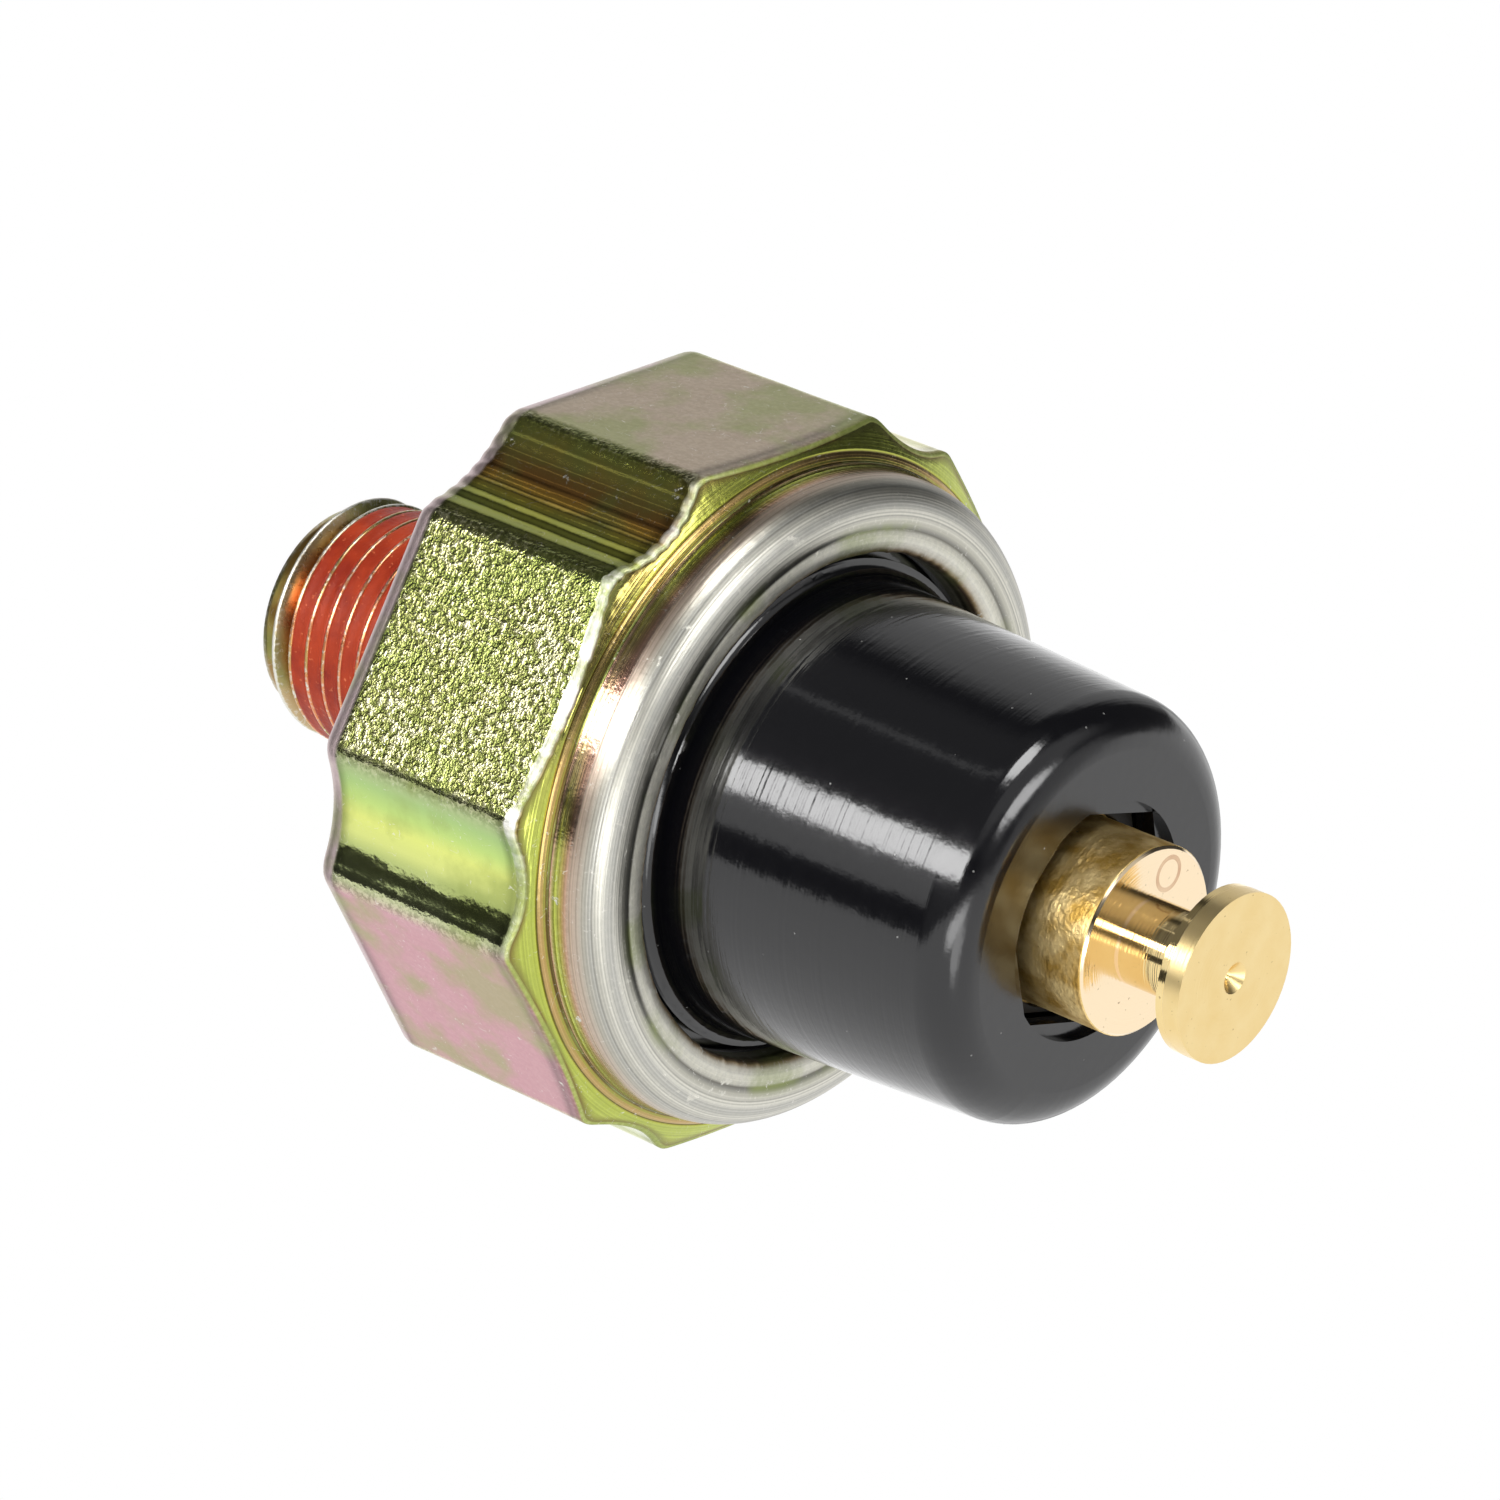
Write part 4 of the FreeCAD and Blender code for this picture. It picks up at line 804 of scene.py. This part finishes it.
# ------------------------------
# Studio. A white floor that gives no light, shadow or reflection, and soft light all round from
# panels and a pale table, drawn as patches of a sky: azimuth 0 is towards -Y and 90 towards +X,
# in degrees. The camera sees plain white behind the part.
# ------------------------------
FLOOR_SIZE, FLOOR_GAP = 6, 0.15
bpy.ops.mesh.primitive_plane_add(size=FLOOR_SIZE, location=(0, 0, (THREAD_END - FLOOR_GAP) * MM))
floor = bpy.context.object
floor.name = "floor"
floor.visible_glossy = floor.visible_diffuse = floor.visible_shadow = False
pale, tree, place = new_material("pale_floor")
finish_material(tree, add(tree, "Emission", {"Color": linear("#FFFFFF"), "Strength": 1.0}))
floor.data.materials.append(pale)

world = bpy.data.worlds.new("studio")
bpy.context.scene.world = world
world.use_nodes = True
tree = world.node_tree
tree.nodes.clear()
ray = add(tree, "TexCoord").outputs["Generated"]
apart = add(tree, "SeparateXYZ", {"Vector": ray})
behind = add(tree, "Math", {0: apart.outputs["Y"], 1: -1.0}, operation="MULTIPLY").outputs[0]
around = add(tree, "Math", {0: apart.outputs["X"], 1: behind}, operation="ARCTAN2").outputs[0]
azimuth = add(tree, "Math", {0: around}, operation="DEGREES").outputs[0]
upward = add(tree, "Math", {0: apart.outputs["Z"]}, operation="ARCSINE").outputs[0]
elevation = add(tree, "Math", {0: upward}, operation="DEGREES").outputs[0]

# azimuth, elevation, half width, half height, radiance, softness (share of the half size), round
PANELS = [
    (0, 1.5, 7.5, 34.5, 11.0, 0.06, False),      # strip softbox
    (-59, 14, 12, 11, 9.5, 0.2, True),           # round lamp
    (-76, 63, 34, 9, 7.5, 0.2, True),            # overhead panel
    (-66, 40, 50, 16, 0.6, 0.4, True),
    (-155, 58, 34, 18, 0.65, 0.3, True),
    (38, 55, 11, 19, 5.5, 0.3, True),            # two bounce panels
    (65, 62, 22, 11, 3.5, 0.3, True),
    (15, -46, 9.5, 24, 1.0, 0.1, False),         # two low panels with a dark gap between them
    (52, -46, 12, 24, 1.1, 0.05, False),
    (172, 12, 24, 34, 1.1, 0.2, False),          # pale walls behind the part
    (-166, 12, 16, 34, 1.1, 0.2, False),
    (180, -55, 70, 30, 1.3, 0.3, True),          # pale wall behind the thread
    (-125, -40, 36, 34, 0.62, 0.3, True),        # grey ceiling
    (-47, -24, 1.6, 22, 0.7, 0.4, False),        # ceiling lamp far off
    (-42, 0, 34, 90, 0.16, 0.3, False),          # two faint wide fills
    (20, 30, 16, 50, 0.18, 0.3, False),
]
TABLE_SIDE, TABLE_LIGHT, DARK_SKY = (0.9255, 0.2250, 0.3045), 1.12, 0.05
sunk = add(tree, "VectorMath", {0: ray, 1: TABLE_SIDE}, operation="DOT_PRODUCT").outputs["Value"]
light = add(tree, "MapRange", {"Value": sunk, "From Min": 0.27, "From Max": 0.37, "To Min": DARK_SKY,
                               "To Max": TABLE_LIGHT}, interpolation_type="SMOOTHSTEP").outputs[0]
for az, el, width, tall, radiance, soft, is_round in PANELS:
    sideways = add(tree, "Math", {0: azimuth, 1: float(az)}, operation="SUBTRACT").outputs[0]
    wrapped = add(tree, "Math", {0: sideways, 1: -180.0, 2: 180.0}, operation="WRAP").outputs[0]
    over = add(tree, "Math", {0: elevation, 1: float(el)}, operation="SUBTRACT").outputs[0]
    across = add(tree, "Math", {0: wrapped, 1: float(width)}, operation="DIVIDE").outputs[0]
    along_up = add(tree, "Math", {0: over, 1: float(tall)}, operation="DIVIDE").outputs[0]
    if is_round:
        both = add(tree, "CombineXYZ", {0: across, 1: along_up}).outputs[0]
        reach = add(tree, "VectorMath", {0: both}, operation="LENGTH").outputs["Value"]
    else:
        one = add(tree, "Math", {0: across}, operation="ABSOLUTE").outputs[0]
        other = add(tree, "Math", {0: along_up}, operation="ABSOLUTE").outputs[0]
        reach = add(tree, "Math", {0: one, 1: other}, operation="MAXIMUM").outputs[0]
    share = add(tree, "MapRange", {"Value": reach, "From Min": 1 - soft, "From Max": 1 + soft,
                                   "To Min": radiance, "To Max": 0.0},
                interpolation_type="SMOOTHSTEP").outputs[0]
    light = add(tree, "Math", {0: share, 1: light}, operation="MAXIMUM").outputs[0]
# Diffuse rays get half of this light.
rays = add(tree, "LightPath")
DIFFUSE_SHARE = 0.5
softened = add(tree, "Math", {0: rays.outputs["Is Diffuse Ray"], 1: DIFFUSE_SHARE - 1, 2: 1.0},
               operation="MULTIPLY_ADD").outputs[0]
lit = add(tree, "Math", {0: light, 1: softened}, operation="MULTIPLY").outputs[0]
shown = add(tree, "Mix", {"Factor": rays.outputs["Is Camera Ray"], 2: lit, 3: 1.0},
            data_type="FLOAT").outputs[0]
background = add(tree, "Background", {"Color": linear("#FFFFFF"), "Strength": shown})
add(tree, "OutputWorld", {"Surface": background.outputs[0]})
bpy.context.scene.view_settings.view_transform = "Standard"

camera = bpy.data.objects.new("camera", bpy.data.cameras.new("camera"))
bpy.context.scene.collection.objects.link(camera)
camera.data.lens, camera.data.sensor_width = 180.38, 36.0
camera.data.clip_start = 0.01
right = (-0.378638, 0.550006, 0.744392)
up = (-0.925536, -0.225008, -0.304531)
back = (0.0, -0.804269, 0.594257)
spot = (-0.00098, -0.22431, 0.17418)
camera.matrix_world = Matrix([[right[k], up[k], back[k], spot[k]] for k in range(3)] + [[0, 0, 0, 1]])
bpy.context.scene.camera = camera
